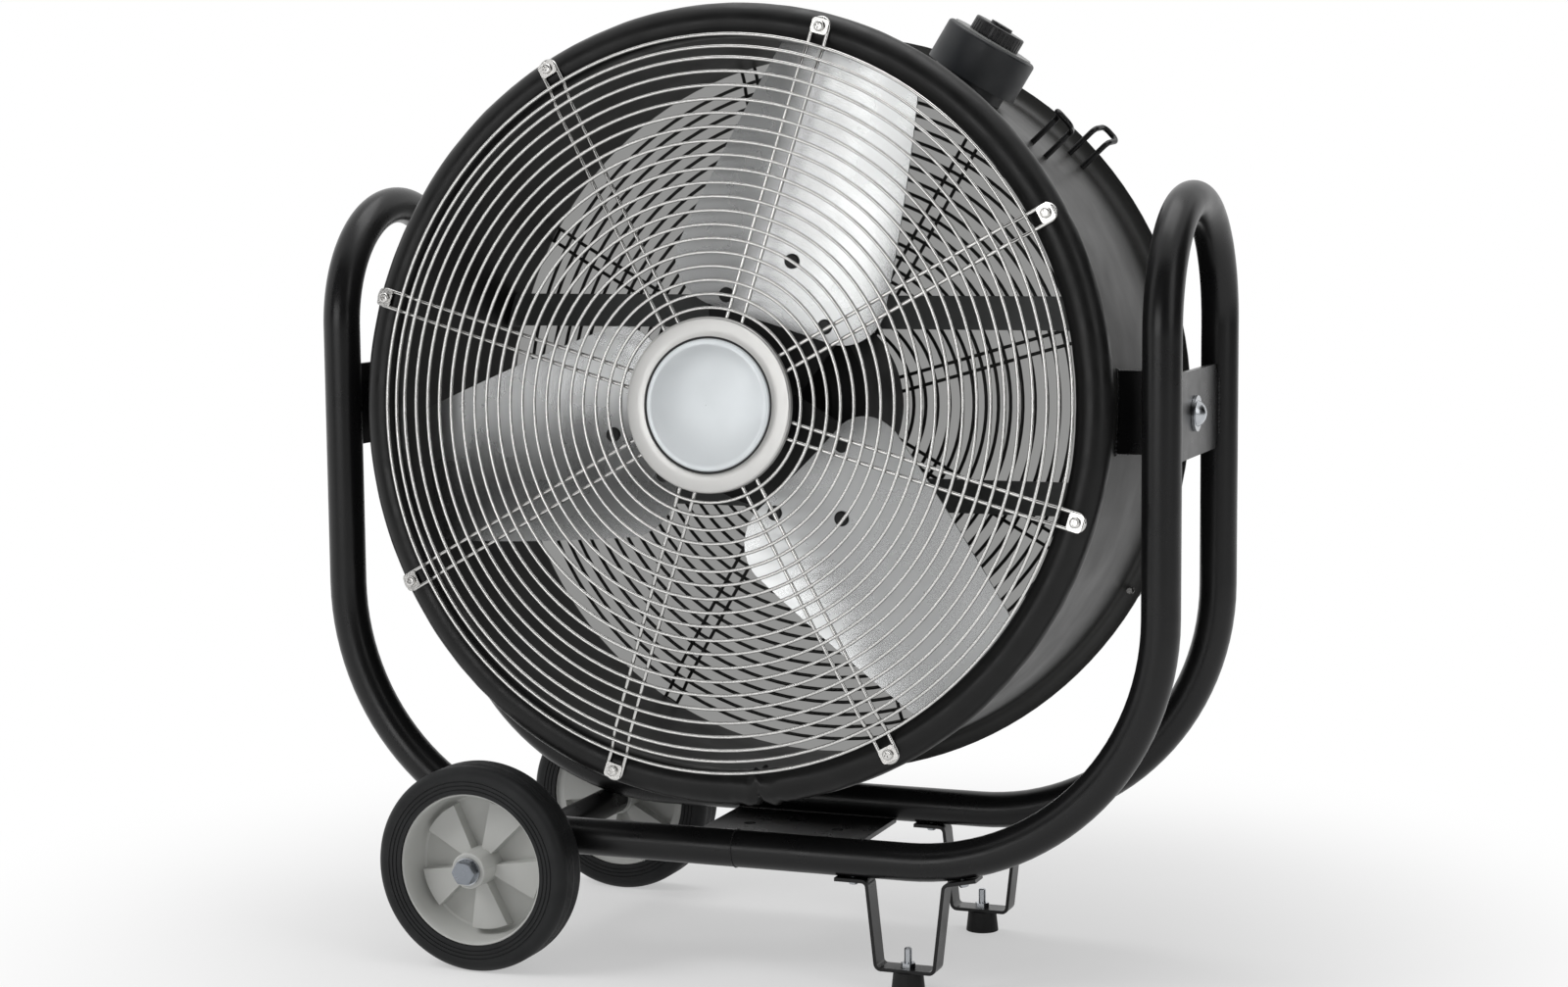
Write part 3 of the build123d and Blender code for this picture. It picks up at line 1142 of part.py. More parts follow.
def drum_nodes():
    """Everything that tilts with the drum, in the drum's own frame."""
    clip_places = [clip_place(index) for index in range(RIB_COUNT)]
    rear_places = [rear_clip_place(index) for index in range(RIB_COUNT)]
    step = 360 / RIB_COUNT
    rib_turns = [Rot(0, RIB_FIRST_DEG + index * step, 0) for index in range(RIB_COUNT)]
    rear_turns = [Rot(0, REAR_RIB_FIRST_DEG + index * step, 0) for index in range(RIB_COUNT)]
    bar_places = [bar_bolt_place(height, side) for height in (BAR_UPPER_Z, BAR_LOWER_Z)
                  for side in (-1, 1)]
    motor_places = [Pos(x, 0, height) for height in (BAR_UPPER_Z, BAR_LOWER_Z)
                    for x in (-MOTOR_BOLT_X, MOTOR_BOLT_X)]
    return {
        "drum_shell": drum_shell(),
        "front_edge_trim": front_edge_trim(),
        "left_trunnion_bracket": trunnion_bracket(-1),
        "right_trunnion_bracket": trunnion_bracket(1),
        "pivot_bolts": both_sides(pivot_bolt()),
        "pivot_washers": both_sides(pivot_washer()),
        "pivot_nuts": both_sides(pivot_nut()),
        "front_guard_rings": front_guard_rings(),
        "front_guard_ribs": repeated(rib_turns, front_guard_rib()),
        "front_guard_clips": repeated(clip_places, front_clip()),
        "front_clip_screws": repeated(clip_places, front_clip_screw()),
        "guard_hub_cap": guard_hub_cap(),
        "guard_hub_badge": hub_badge(),
        "guard_hub_plate": guard_hub_plate(),
        "rear_guard_rings": rear_guard_rings(),
        "rear_guard_ribs": repeated(rear_turns, rear_guard_rib()),
        "rear_guard_clips": repeated(rear_places, rear_clip()),
        "rear_clip_screws": repeated(rear_places, rear_clip_screw()),
        "rear_guard_hub_plate": rear_guard_hub_plate(),
        "upper_motor_bar": motor_bar(BAR_UPPER_Z),
        "lower_motor_bar": motor_bar(BAR_LOWER_Z),
        "motor_bar_bolts": [place * piece for place in bar_places for piece in bar_bolt()],
        "motor_body": motor_body(),
        "motor_front_cover": motor_front_cover(),
        "motor_rear_cover": motor_rear_cover(),
        "motor_mount_bolts": repeated(motor_places, motor_bolt()),
        "speed_control_base": control_base(),
        "speed_control_box": control_box(),
        "speed_control_face": control_face(),
        "cord_gland": cord_gland(),
        "front_cord_hook": cord_hook(HOOK_FRONT_Y, -1),
        "rear_cord_hook": cord_hook(HOOK_REAR_Y, 1),
    }


def impeller_nodes():
    """Everything that spins with the motor's shaft, in the drum's own frame."""
    return {
        "motor_shaft": motor_shaft(),
        "impeller_spider": impeller_spider(),
        "impeller_nut": impeller_nut(),
        "top_blade": blade(0),
        "right_blade": blade(1),
        "left_blade": blade(2),
        "blade_rivets": blade_rivets(),
    }


def all_nodes():
    """Every node in its place in the fan."""
    nodes = frame_nodes()
    nodes.update(wheel_nodes())
    tilting = drum_nodes()
    tilting.update(impeller_nodes())
    tilting["speed_knob"] = speed_knob()
    for name, shape in tilting.items():
        several = isinstance(shape, list)
        nodes[name] = [in_drum(piece) for piece in shape] if several else in_drum(shape)
    return nodes


def write_steps():
    """Write one STEP file for each node."""
    os.makedirs("parts", exist_ok=True)
    for name, shape in all_nodes().items():
        whole = Compound(children=shape) if isinstance(shape, list) else shape
        export_step(whole, f"parts/{name}.step")


write_steps()
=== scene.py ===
import math

import bpy
from mathutils import Matrix, Vector, noise


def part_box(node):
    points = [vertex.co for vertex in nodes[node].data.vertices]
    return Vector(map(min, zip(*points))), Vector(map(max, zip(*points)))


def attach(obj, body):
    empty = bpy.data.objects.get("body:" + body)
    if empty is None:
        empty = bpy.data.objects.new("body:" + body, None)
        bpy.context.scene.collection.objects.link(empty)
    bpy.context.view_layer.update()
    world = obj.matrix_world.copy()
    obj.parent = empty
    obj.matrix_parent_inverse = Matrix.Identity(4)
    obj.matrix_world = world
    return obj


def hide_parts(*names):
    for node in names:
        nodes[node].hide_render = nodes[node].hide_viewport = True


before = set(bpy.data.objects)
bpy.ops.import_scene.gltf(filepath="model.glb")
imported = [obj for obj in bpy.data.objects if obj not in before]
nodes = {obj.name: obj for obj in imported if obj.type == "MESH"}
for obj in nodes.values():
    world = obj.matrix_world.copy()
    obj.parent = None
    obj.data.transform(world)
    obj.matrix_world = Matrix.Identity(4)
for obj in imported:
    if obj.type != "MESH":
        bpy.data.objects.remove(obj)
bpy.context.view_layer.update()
MM = 0.001
MICRON = 0.001 * MM

# The drum's own frame: its axis is Y and its origin is the middle of the pivots.
PIVOT_Z = 482 * MM
DRUM_TILT = math.radians(4.2)
DRUM = Matrix.Translation((0, 0, PIVOT_Z)) @ Matrix.Rotation(-DRUM_TILT, 4, "X")
DRUM_R = 320 * MM

# The frame: the middle lines of its tubes, and the wheels
TUBE_R = 16 * MM
SIDE_X = 369 * MM
SIDE_Y = 106 * MM
FLOOR_TUBE_Z = 111 * MM
WHEEL_X = sum(corner.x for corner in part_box("front_tyre")) / 2
WHEEL_Y = 155 * MM
WHEEL_R = 90 * MM


# ---- meshes ---------------------------------------------------------------------------------
def new_object(name, data):
    """An object in the scene that shows a mesh, light or camera."""
    made = bpy.data.objects.new(name, data)
    bpy.context.scene.collection.objects.link(made)
    return made


def new_piece(name, vertices, faces, body, material, place=Matrix.Identity(4)):
    """A smooth mesh piece that rides on a body, with its points carried to their place."""
    mesh = bpy.data.meshes.new(name)
    mesh.from_pydata([place @ Vector(v) for v in vertices], [], faces)
    mesh.validate()
    mesh.polygons.foreach_set("use_smooth", [True] * len(mesh.polygons))
    mesh.materials.append(material)
    piece = new_object(name, mesh)
    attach(piece, body)
    return piece


def keep_creases(piece, degrees):
    """Smooth shading everywhere but on edges sharper than the angle."""
    bpy.context.view_layer.objects.active = piece
    piece.select_set(True)
    bpy.ops.object.shade_smooth_by_angle(angle=math.radians(degrees))
    piece.select_set(False)


def in_mm(outline):
    """An outline of (radius, y) that is typed in mm, in metres."""
    return [(radius * MM, y * MM) for radius, y in outline]


def arc(middle, reach, start, end, steps):
    """Outline points round a middle, from one angle to another in equal steps."""
    points = []
    for step in range(steps + 1):
        angle = start + (end - start) * step / steps
        points.append((middle[0] + reach * math.cos(angle), middle[1] + reach * math.sin(angle)))
    return points


def skin(rows, count, closed=True):
    """Faces between neighbouring rows of points. Each row is a closed outline of count points."""
    faces = []
    for row in range(rows if closed else rows - 1):
        after = (row + 1) % rows
        for index in range(count):
            beside = (index + 1) % count
            faces.append((row * count + index, row * count + beside,
                          after * count + beside, after * count + index))
    return faces


def turned(outline, segments, shift=None):
    """Points and faces of a closed outline turned about Y. shift moves single points."""
    vertices = []
    for step in range(segments):
        angle = 2 * math.pi * step / segments
        for index, (radius, y) in enumerate(outline):
            reach = radius + (shift(angle, index, radius, y) if shift else 0.0)
            vertices.append((reach * math.sin(angle), y, reach * math.cos(angle)))
    return vertices, skin(segments, len(outline))


def merged(parts):
    """Several (points, faces) in one."""
    vertices, faces = [], []
    for part_vertices, part_faces in parts:
        start = len(vertices)
        vertices.extend(part_vertices)
        faces.extend(tuple(start + i for i in face) for face in part_faces)
    return vertices, faces


# ---- materials ------------------------------------------------------------------------------
# Range that the value of a noise texture mostly keeps to
NOISE_LOW, NOISE_HIGH = 0.3, 0.7


def set_inputs(node, values):
    """Set a node's inputs, each by its name or number."""
    for name, value in values.items():
        node.inputs[name].default_value = value


def add_node(tree, kind, values=None, **settings):
    """A new node with its settings, and with values for its inputs."""
    node = tree.nodes.new(kind)
    for name, value in settings.items():
        setattr(node, name, value)
    set_inputs(node, values or {})
    return node


def new_material(name, values):
    """A node material whose Principled shader has these values."""
    material = bpy.data.materials.new(name)
    material.use_nodes = True
    set_inputs(material.node_tree.nodes["Principled BSDF"], values)
    return material


class Look:
    """A node material built up a step at a time on one Principled shader."""

    def __init__(self, name, colour, roughness, metallic=0.0, specular=0.5):
        self.material = new_material(name, {
            "Base Color": (*colour, 1), "Roughness": roughness,
            "Metallic": metallic, "Specular IOR Level": specular})
        self.tree = self.material.node_tree
        self.shader = self.tree.nodes["Principled BSDF"]
        self.colour = colour
        self.roughness = roughness
        self.where = self.node("ShaderNodeTexCoord").outputs["Object"]

    def node(self, kind, values=None, **settings):
        return add_node(self.tree, kind, values, **settings)

    def link(self, source, target):
        self.tree.links.new(source, target)

    def noise(self, scale, detail=4.0, where=None):
        """Noise value, in the object's coordinates unless where gives others."""
        texture = self.node("ShaderNodeTexNoise", {"Scale": scale, "Detail": detail})
        self.link(where or self.where, texture.inputs["Vector"])
        return texture.outputs["Fac"]

    def spread(self, value, low, high, from_low=NOISE_LOW, from_high=NOISE_HIGH):
        """Carry a value from one range to another."""
        ranged = self.node("ShaderNodeMapRange", {
            "From Min": from_low, "From Max": from_high, "To Min": low, "To Max": high})
        self.link(value, ranged.inputs["Value"])
        return ranged.outputs["Result"]

    def vary_roughness(self, value, amount):
        """Make the surface duller where the value is high, and glossier where it is low."""
        self.link(self.spread(value, self.roughness - amount, self.roughness + amount),
                  self.shader.inputs["Roughness"])

    def vary_colour(self, value, other, share=1.0):
        """Blend towards another colour where the value is high."""
        mix = self.node("ShaderNodeMix", data_type="RGBA")
        current = self.shader.inputs["Base Color"]
        if current.is_linked:
            self.link(current.links[0].from_socket, mix.inputs["A"])
        else:
            mix.inputs["A"].default_value = (*self.colour, 1)
        mix.inputs["B"].default_value = (*other, 1)
        self.link(self.spread(value, 0.0, share), mix.inputs["Factor"])
        self.link(mix.outputs["Result"], current)

    def bump(self, value, distance, strength):
        """Relief of a given height, in metres, on top of what is there."""
        relief = self.node("ShaderNodeBump", {"Distance": distance, "Strength": strength})
        self.link(value, relief.inputs["Height"])
        normal = self.shader.inputs["Normal"]
        if normal.is_linked:
            self.link(normal.links[0].from_socket, relief.inputs["Normal"])
        self.link(relief.outputs["Normal"], normal)

    def in_drum(self):
        """Coordinates in the drum's own frame."""
        back = DRUM.inverted()
        mapping = self.node("ShaderNodeMapping", {
            "Rotation": back.to_euler(), "Location": back.to_translation()})
        self.link(self.where, mapping.inputs["Vector"])
        return mapping.outputs["Vector"]

    def polar(self):
        """Distance from the drum's axis and angle about it."""
        split = self.node("ShaderNodeSeparateXYZ")
        self.link(self.in_drum(), split.inputs["Vector"])
        flat = self.node("ShaderNodeCombineXYZ")
        self.link(split.outputs["X"], flat.inputs["X"])
        self.link(split.outputs["Z"], flat.inputs["Z"])
        length = self.node("ShaderNodeVectorMath", operation="LENGTH")
        self.link(flat.outputs["Vector"], length.inputs[0])
        angle = self.node("ShaderNodeMath", operation="ARCTAN2")
        self.link(split.outputs["X"], angle.inputs[0])
        self.link(split.outputs["Z"], angle.inputs[1])
        return length.outputs["Value"], angle.outputs["Value"]

    def grain(self, radius, angle, along_radius, along_angle):
        """Noise in polar coordinates, for brushed and rolled metal."""
        place = self.node("ShaderNodeCombineXYZ")
        for source, scale, target in ((radius, along_radius, "X"), (angle, along_angle, "Y")):
            scaled = self.node("ShaderNodeMath", {1: scale}, operation="MULTIPLY")
            self.link(source, scaled.inputs[0])
            self.link(scaled.outputs["Value"], place.inputs[target])
        return self.noise(1.0, detail=3.0, where=place.outputs["Vector"])


def powder_coat(name, colour, roughness, specular=0.24):
    """Powder-coated metal: fine orange peel, faint handling marks."""
    look = Look(name, colour, roughness, specular=specular)
    marks = tuple(min(1, c * 1.5 + 0.002) for c in colour)
    look.vary_roughness(look.noise(38), 0.05)
    look.vary_colour(look.noise(11, detail=6), marks, share=0.6)
    look.bump(look.noise(900, detail=2), 60 * MICRON, strength=0.5)
    return look.material


def soft_rubber(name, colour, roughness):
    """Matte rubber with a dusty bloom and fine pores."""
    look = Look(name, colour, roughness, specular=0.24)
    bloom = tuple(c * 1.6 + 0.003 for c in colour)
    look.vary_roughness(look.noise(60), 0.07)
    look.vary_colour(look.noise(26, detail=8), bloom, share=0.7)
    look.bump(look.noise(1500, detail=3), 80 * MICRON, strength=0.5)
    return look.material


def bright_metal(name, colour, roughness):
    """Plated or polished steel with small changes of gloss."""
    look = Look(name, colour, roughness, metallic=1.0)
    tarnish = tuple(c * 0.8 for c in colour)
    look.vary_roughness(look.noise(240), 0.05)
    look.vary_colour(look.noise(90, detail=6), tarnish, share=0.5)
    look.bump(look.noise(1800, detail=2), 20 * MICRON, strength=0.4)
    return look.material


def moulded_plastic(name, colour, roughness, shade):
    """Moulded plastic with a fine texture and faint flow marks."""
    look = Look(name, colour, roughness, specular=0.4)
    look.vary_roughness(look.noise(50), 0.06)
    look.vary_colour(look.noise(18, detail=6), shade, share=0.7)
    look.bump(look.noise(1100, detail=2), 50 * MICRON, strength=0.5)
    return look.material


def brushed_cap():
    """Stainless pressing with fine marks round its axis."""
    look = Look("brushed_stainless", (0.51, 0.508, 0.497), 0.36, metallic=0.9)
    radius, angle = look.polar()
    marks = look.grain(radius, angle, along_radius=2600, along_angle=5)
    look.vary_roughness(marks, 0.05)
    look.vary_colour(look.noise(22, detail=5), (0.51, 0.506, 0.493), share=0.6)
    look.bump(marks, 10 * MICRON, strength=0.3)
    return look.material


def blade_sheet():
    """Rolled aluminium sheet with marks along the blade and a few dull patches."""
    look = Look("rolled_aluminium", (0.55, 0.557, 0.557), 0.27, metallic=0.96)
    radius, angle = look.polar()
    marks = look.grain(radius, angle, along_radius=14, along_angle=420)
    look.vary_roughness(look.noise(14, detail=5), 0.06)
    look.vary_colour(look.noise(9, detail=7), (0.48, 0.486, 0.489), share=0.6)
    look.bump(marks, 20 * MICRON, strength=0.2)
    return look.material


def drum_paint():
    """Satin dark paint on the rolled barrel, with painted shade that makes it darker inside."""
    look = Look("drum_paint", (0.03, 0.03, 0.029), 0.42, specular=0.35)
    radius, angle = look.polar()
    look.vary_roughness(look.noise(22, detail=5), 0.05)
    look.vary_colour(look.noise(7, detail=6), (0.038, 0.038, 0.036), share=0.7)
    # Painted shade: a radius mask gives the inside of the barrel a darker colour than the
    # outside.
    inside = look.spread(radius, NOISE_HIGH, NOISE_LOW, DRUM_R - 1.6 * MM, DRUM_R - 1.2 * MM)
    look.vary_colour(inside, (0.015, 0.015, 0.0145))
    look.bump(look.noise(800, detail=2), 60 * MICRON, strength=0.45)
    look.bump(look.grain(radius, angle, along_radius=1, along_angle=7), 0.6 * MM, strength=0.25)
    return look.material


def badge_face():
    """Pale blue-grey lacquered disc, left blank."""
    look = Look("badge_face", (0.635, 0.668, 0.687), 0.36, metallic=0.35)
    look.vary_roughness(look.noise(40), 0.04)
    look.vary_colour(look.noise(16, detail=5), (0.70, 0.735, 0.75), share=0.7)
    look.bump(look.noise(700, detail=2), 10 * MICRON, strength=0.3)
    return look.material


# Materials by the short names that NODE_LOOKS uses. Their arguments are name, colour, roughness.
looks = {
    "frame": powder_coat("frame_powder_coat", (0.006, 0.006, 0.0063), 0.3, specular=0.32),
    "bars": powder_coat("bar_paint", (0.14, 0.145, 0.143), 0.45),
    "drum": drum_paint(),
    "trim": soft_rubber("trim_rubber", (0.007, 0.007, 0.007), 0.36),
    "tyre": soft_rubber("tyre_rubber", (0.0125, 0.013, 0.0135), 0.55),
    "foot": soft_rubber("foot_rubber", (0.012, 0.012, 0.012), 0.6),
    "wheel": moulded_plastic("wheel_plastic", (0.58, 0.585, 0.565), 0.38,
                             shade=(0.52, 0.523, 0.50)),
    "zinc": bright_metal("zinc_plate", (0.50, 0.52, 0.545), 0.26),
    # Painted shade: the wheel bolts get a darker copy of the zinc plate.
    "wheel_bolt_painted_shade": bright_metal("zinc_plate_painted_shade", (0.27, 0.29, 0.32), 0.3),
    "clip": bright_metal("clip_steel", (0.74, 0.73, 0.71), 0.26),
    "wire": bright_metal("stainless_wire", (0.66, 0.655, 0.64), 0.22),
    "cap": brushed_cap(),
    "badge": badge_face(),
    "black_wire": powder_coat("black_wire", (0.045, 0.045, 0.043), 0.34),
    "motor": powder_coat("motor_paint", (0.012, 0.012, 0.012), 0.45),
    "blade": blade_sheet(),
    "rivet": powder_coat("rivet_black", (0.02, 0.02, 0.02), 0.35),
    "box": moulded_plastic("control_plastic", (0.014, 0.0155, 0.0175), 0.45,
                           shade=(0.02, 0.022, 0.025)),
    "face": moulded_plastic("control_face", (0.26, 0.265, 0.26), 0.4, shade=(0.22, 0.225, 0.22)),
    "knob": moulded_plastic("knob_plastic", (0.008, 0.008, 0.009), 0.36,
                            shade=(0.013, 0.013, 0.014)),
}

NODE_LOOKS = {
    "frame": ("front_cradle_tube", "rear_cradle_tube", "left_hoop", "right_hoop",
              "left_trunnion_plate", "right_trunnion_plate", "axle_tube", "foot_straps",
              "left_trunnion_bracket", "right_trunnion_bracket", "front_cord_hook",
              "rear_cord_hook", "base_plate"),
    "bars": ("upper_motor_bar", "lower_motor_bar", "motor_bar_bolts", "motor_mount_bolts"),
    "drum": ("drum_shell",),
    "trim": ("front_edge_trim",),
    "tyre": ("front_tyre", "rear_tyre"),
    "foot": ("rubber_feet",),
    "wheel": ("front_wheel_hub", "rear_wheel_hub"),
    "wheel_bolt_painted_shade": ("axle_bolts",),
    "zinc": ("axle_plugs", "axle_washers", "foot_strap_screws", "foot_studs", "foot_nuts",
             "pivot_bolts", "pivot_washers", "pivot_nuts", "impeller_nut", "motor_shaft"),
    "clip": ("front_guard_clips", "front_clip_screws", "rear_clip_screws"),
    "wire": ("front_guard_rings", "front_guard_ribs", "guard_hub_plate"),
    "cap": ("guard_hub_cap",),
    "badge": ("guard_hub_badge",),
    "black_wire": ("rear_guard_rings", "rear_guard_ribs", "rear_guard_clips",
                   "rear_guard_hub_plate"),
    "motor": ("motor_body", "motor_front_cover", "motor_rear_cover", "impeller_spider"),
    "blade": ("top_blade", "right_blade", "left_blade"),
    "rivet": ("blade_rivets",),
    "box": ("speed_control_base", "speed_control_box", "cord_gland"),
    "face": ("speed_control_face",),
    "knob": ("speed_knob",),
}


def dress_nodes():
    """Give every CAD node its material."""
    for look, names in NODE_LOOKS.items():
        for name in names:
            node = nodes[name]
            node.data.materials.clear()
            node.data.materials.append(looks[look])


# ---- wheels: outlines in mm -----------------------------------------------------------------
TYRE_SEGMENTS = 160
TYRE_RIM_R = 66.6
TYRE_FLANGE_R = 69.0
TYRE_CROWN_R = 90.0
TYRE_WALL_Y = 20.0
TYRE_SHOULDER_R = 9.0
WALL_RINGS = (70.5, 74.0, 77.5)
TREAD_PITCH = 2.35
TREAD_MARGIN = 1.0
TREAD_MIDDLE = 0.4
# (across, depth) of a ring moulded into the wall and of a groove in the tread
WALL_RING = ((-0.6, 0.0), (-0.3, 0.7), (0.3, 0.7), (0.6, 0.0))
TREAD_GROOVE = ((0.0, 0.0), (0.3, 0.8), (0.8, 0.8), (1.1, 0.0))

# Wedges round the wheel: the first one's middle and half the slope beside one, in degrees
WEDGE_COUNT = 5
WEDGE_PHASE = 28
HALF_SLOPE = 0.35
WEDGE_STEPS = 12
# How far out the web lies beside the boss and beside the rim
WEDGE_WEB = (1.0, -2.0)
RECESS_WEB = (-11.5, -12.3)
WEB_THICK = 3.0


def tyre_half_outline():
    """Half of the tyre's section from the rim to the middle of the tread."""
    points = [(TYRE_RIM_R, TYRE_WALL_Y), (TYRE_FLANGE_R, TYRE_WALL_Y)]
    for ring in WALL_RINGS:
        points += [(ring + across, TYRE_WALL_Y - depth) for across, depth in WALL_RING]
    shoulder = (TYRE_CROWN_R - TYRE_SHOULDER_R, TYRE_WALL_Y - TYRE_SHOULDER_R)
    points += arc(shoulder, TYRE_SHOULDER_R, math.radians(90), 0, 8)
    groove_y = shoulder[1] - TREAD_MARGIN
    while groove_y > TREAD_MIDDLE:
        points += [(TYRE_CROWN_R - depth, groove_y - across) for across, depth in TREAD_GROOVE]
        groove_y -= TREAD_PITCH
    return points


def wheel_place(side):
    """Where a wheel's own origin goes. side is -1 at the front and 1 at the back."""
    return Matrix.Translation((WHEEL_X, side * WHEEL_Y, WHEEL_R))


def make_tyre(name, node, body, side):
    """Tyre with a ribbed tread and moulded rings on its walls."""
    half = tyre_half_outline()
    outline = half + [(radius, -y) for radius, y in reversed(half)]
    vertices, faces = turned(in_mm(outline), TYRE_SEGMENTS)
    piece = new_piece(name, vertices, faces, body, looks["tyre"], wheel_place(side))
    keep_creases(piece, degrees=28)
    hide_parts(node)


def hub_outline(raised):
    """Section of a wheel's dished centre. raised lifts the web towards the outside."""
    near, far = WEDGE_WEB if raised else RECESS_WEB
    boss = [(6.2, 22.0), (14.6, 22.0), (15.6, 21.3)]
    web = [(16.2, near), (56.5, far)]
    bowl = [(57.6, -12.6), (59.6, -11.6), (61.8, -7.5), (63.2, 0.0), (64.0, 8.0), (64.3, 16.6)]
    lip = [(64.9, 17.7), (65.9, 18.0), (66.45, 17.6)]
    back_lip = [(radius, -y) for radius, y in reversed(lip)]
    back_bowl = [(64.2, -16.9), (62.6, -16.4), (59.6, -16.0), (57.6, -15.8)]
    back_web = [(radius, y - WEB_THICK) for radius, y in reversed(web)]
    back_boss = [(radius, -y) for radius, y in reversed(boss)]
    return boss + web + bowl + lip + back_lip + back_bowl + back_web + back_boss


def hub_angles():
    """Angles round the wheel, each with whether the web is raised there."""
    angles = []
    pitch = 360 / WEDGE_COUNT
    for wedge in range(WEDGE_COUNT):
        middle = WEDGE_PHASE + wedge * pitch
        for start, raised in ((middle - pitch / 4, True), (middle + pitch / 4, False)):
            for step in range(WEDGE_STEPS + 1):
                sweep = step * (pitch / 2 - 2 * HALF_SLOPE) / WEDGE_STEPS
                angles.append((math.radians(start + HALF_SLOPE + sweep), raised))
    return angles


def make_wheel_hub(name, node, body, side):
    """Dished plastic centre with raised wedges."""
    vertices = []
    columns = hub_angles()
    for angle, raised in columns:
        for radius, out in in_mm(hub_outline(raised)):
            vertices.append((radius * math.sin(angle), side * out, radius * math.cos(angle)))
    faces = skin(len(columns), len(hub_outline(True)))
    if side > 0:
        faces = [face[::-1] for face in faces]
    piece = new_piece(name, vertices, faces, body, looks["wheel"],
                      wheel_place(side))
    edges = piece.modifiers.new("edges", "BEVEL")
    edges.width = 0.5 * MM
    edges.segments = 2
    edges.angle_limit = math.radians(40)
    keep_creases(piece, degrees=32)
    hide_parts(node)


# ---- the guard's hub cap: outlines in mm ----------------------------------------------------
CAP_SEGMENTS = 180
# An outline that spans the axis stops this far from it.
AXIS_R = 0.3
CAP_EDGE, CAP_ROUNDING = (70.8, -154.2), 2.2
GROOVE, GROOVE_R = (55.7, -155.3), 1.1
DOME_R, DOME_Y, DOME_RISE, DOME_STEPS = 51.4, -156.5, 3.7, 20


def make_hub_cap():
    """Spun cap, the black groove inside it and the blank domed badge."""
    face = [(AXIS_R, -151.4), (CAP_EDGE[0] + CAP_ROUNDING, -151.4)]
    face += arc(CAP_EDGE, CAP_ROUNDING, 0, math.radians(-90), 8)
    face += [(63.0, -156.55), (57.5, -156.6), (56.7, -156.3), (56.4, -155.4), (56.4, -153.4),
             (AXIS_R, -153.4)]
    vertices, faces = turned(in_mm(face), CAP_SEGMENTS)
    cap = new_piece("hub_cap_spun", vertices, faces, "drum", looks["cap"], DRUM)
    keep_creases(cap, degrees=40)
    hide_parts("guard_hub_cap")

    ring = arc(GROOVE, GROOVE_R, 0, math.radians(330), 11)
    vertices, faces = turned(in_mm(ring), CAP_SEGMENTS)
    new_piece("hub_cap_groove", vertices, faces, "drum", looks["knob"], DRUM)

    dome = [(AXIS_R, -153.5), (54.8, -153.5), (54.8, -155.9), (54.2, -156.6), (53.2, -156.8),
            (52.2, DOME_Y)]
    for step in range(1, DOME_STEPS + 1):
        share = 1 - step / DOME_STEPS
        dome.append((AXIS_R + DOME_R * share, DOME_Y - DOME_RISE * (1 - share ** 3)))
    vertices, faces = turned(in_mm(dome), CAP_SEGMENTS)
    badge = new_piece("hub_badge_domed", vertices, faces, "drum", looks["badge"],
                      DRUM)
    keep_creases(badge, degrees=40)
    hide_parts("guard_hub_badge")


# ---- the drum's edge trim -------------------------------------------------------------------
TRIM_SEGMENTS = 900
# Its section is a circle cut off at its inner edge, in mm.
TRIM_MIDDLE, TRIM_SECTION_R, TRIM_INNER_R = (318.1, -120.9), 15.8, 305.0

# Unevenness of the rubber: heights in metres, angles about the drum's axis in radians
WAVE, RIPPLE, PUCKER = 0.45 * MM, 0.25 * MM, 2.6 * MM
PUCKER_SPREAD = 0.1
SEAM_AT = math.radians(172.6)
SEAM_DEPTH, SEAM_WIDTH = 4.5 * MM, 0.0075
SEAM_LIP, SEAM_LIP_AT, SEAM_LIP_WIDTH = 1.3 * MM, 0.03, 0.018
# Only what lies outside this radius shows the seam and is set back a little.
SEAM_FROM_R = 306 * MM
SET_BACK = 0.35 * MM
# How fine the noise is, round the drum and along its axis
WAVES_ROUND, WAVES_ALONG, WAVE_STAGGER = 5, 60, 0.02
RIPPLES_PER_WAVE = 3.7
PUCKERS_ROUND, PUCKERS_ALONG, PUCKER_SLICE = 45, 90, 4.0


def trim_shift(angle, index, radius, y):
    """Unevenness of the rubber: a soft waviness, and puckers beside the butt seam."""
    place = Vector((math.sin(angle) * WAVES_ROUND, y * WAVES_ALONG + index * WAVE_STAGGER,
                    math.cos(angle) * WAVES_ROUND))
    grow = WAVE * noise.noise(place) + RIPPLE * noise.noise(place * RIPPLES_PER_WAVE)
    away = (angle - SEAM_AT + math.pi) % (2 * math.pi) - math.pi
    place = Vector((away * PUCKERS_ROUND, y * PUCKERS_ALONG, PUCKER_SLICE))
    grow += PUCKER * math.exp(-(away / PUCKER_SPREAD) ** 2) * noise.noise(place)
    if radius > SEAM_FROM_R:
        grow -= SEAM_DEPTH * math.exp(-(away / SEAM_WIDTH) ** 2)
        grow += SEAM_LIP * math.exp(-((abs(away) - SEAM_LIP_AT) / SEAM_LIP_WIDTH) ** 2)
        grow -= SET_BACK
    return grow


def make_trim():
    """D-section rubber edging with its butt seam at the bottom."""
    cut = math.acos((TRIM_INNER_R - TRIM_MIDDLE[0]) / TRIM_SECTION_R)
    outline = in_mm(arc(TRIM_MIDDLE, TRIM_SECTION_R, -cut, cut, 36))
    vertices, faces = turned(outline, TRIM_SEGMENTS, trim_shift)
    piece = new_piece("edge_trim", vertices, faces, "drum", looks["trim"], DRUM)
    keep_creases(piece, degrees=50)
    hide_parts("front_edge_trim")


# ---- welds ----------------------------------------------------------------------------------
BEAD_SIDES = 8
BEAD_STEP = 0.0011
# Ripples along a bead, each with its share of the bead's radius and its turn at each point
BEAD_RIPPLES = ((0.16, 2.1), (0.1, 0.7))
# A bead's middle line stands this far off a tube's surface.
BEAD_OFFSET = 0.1 * MM

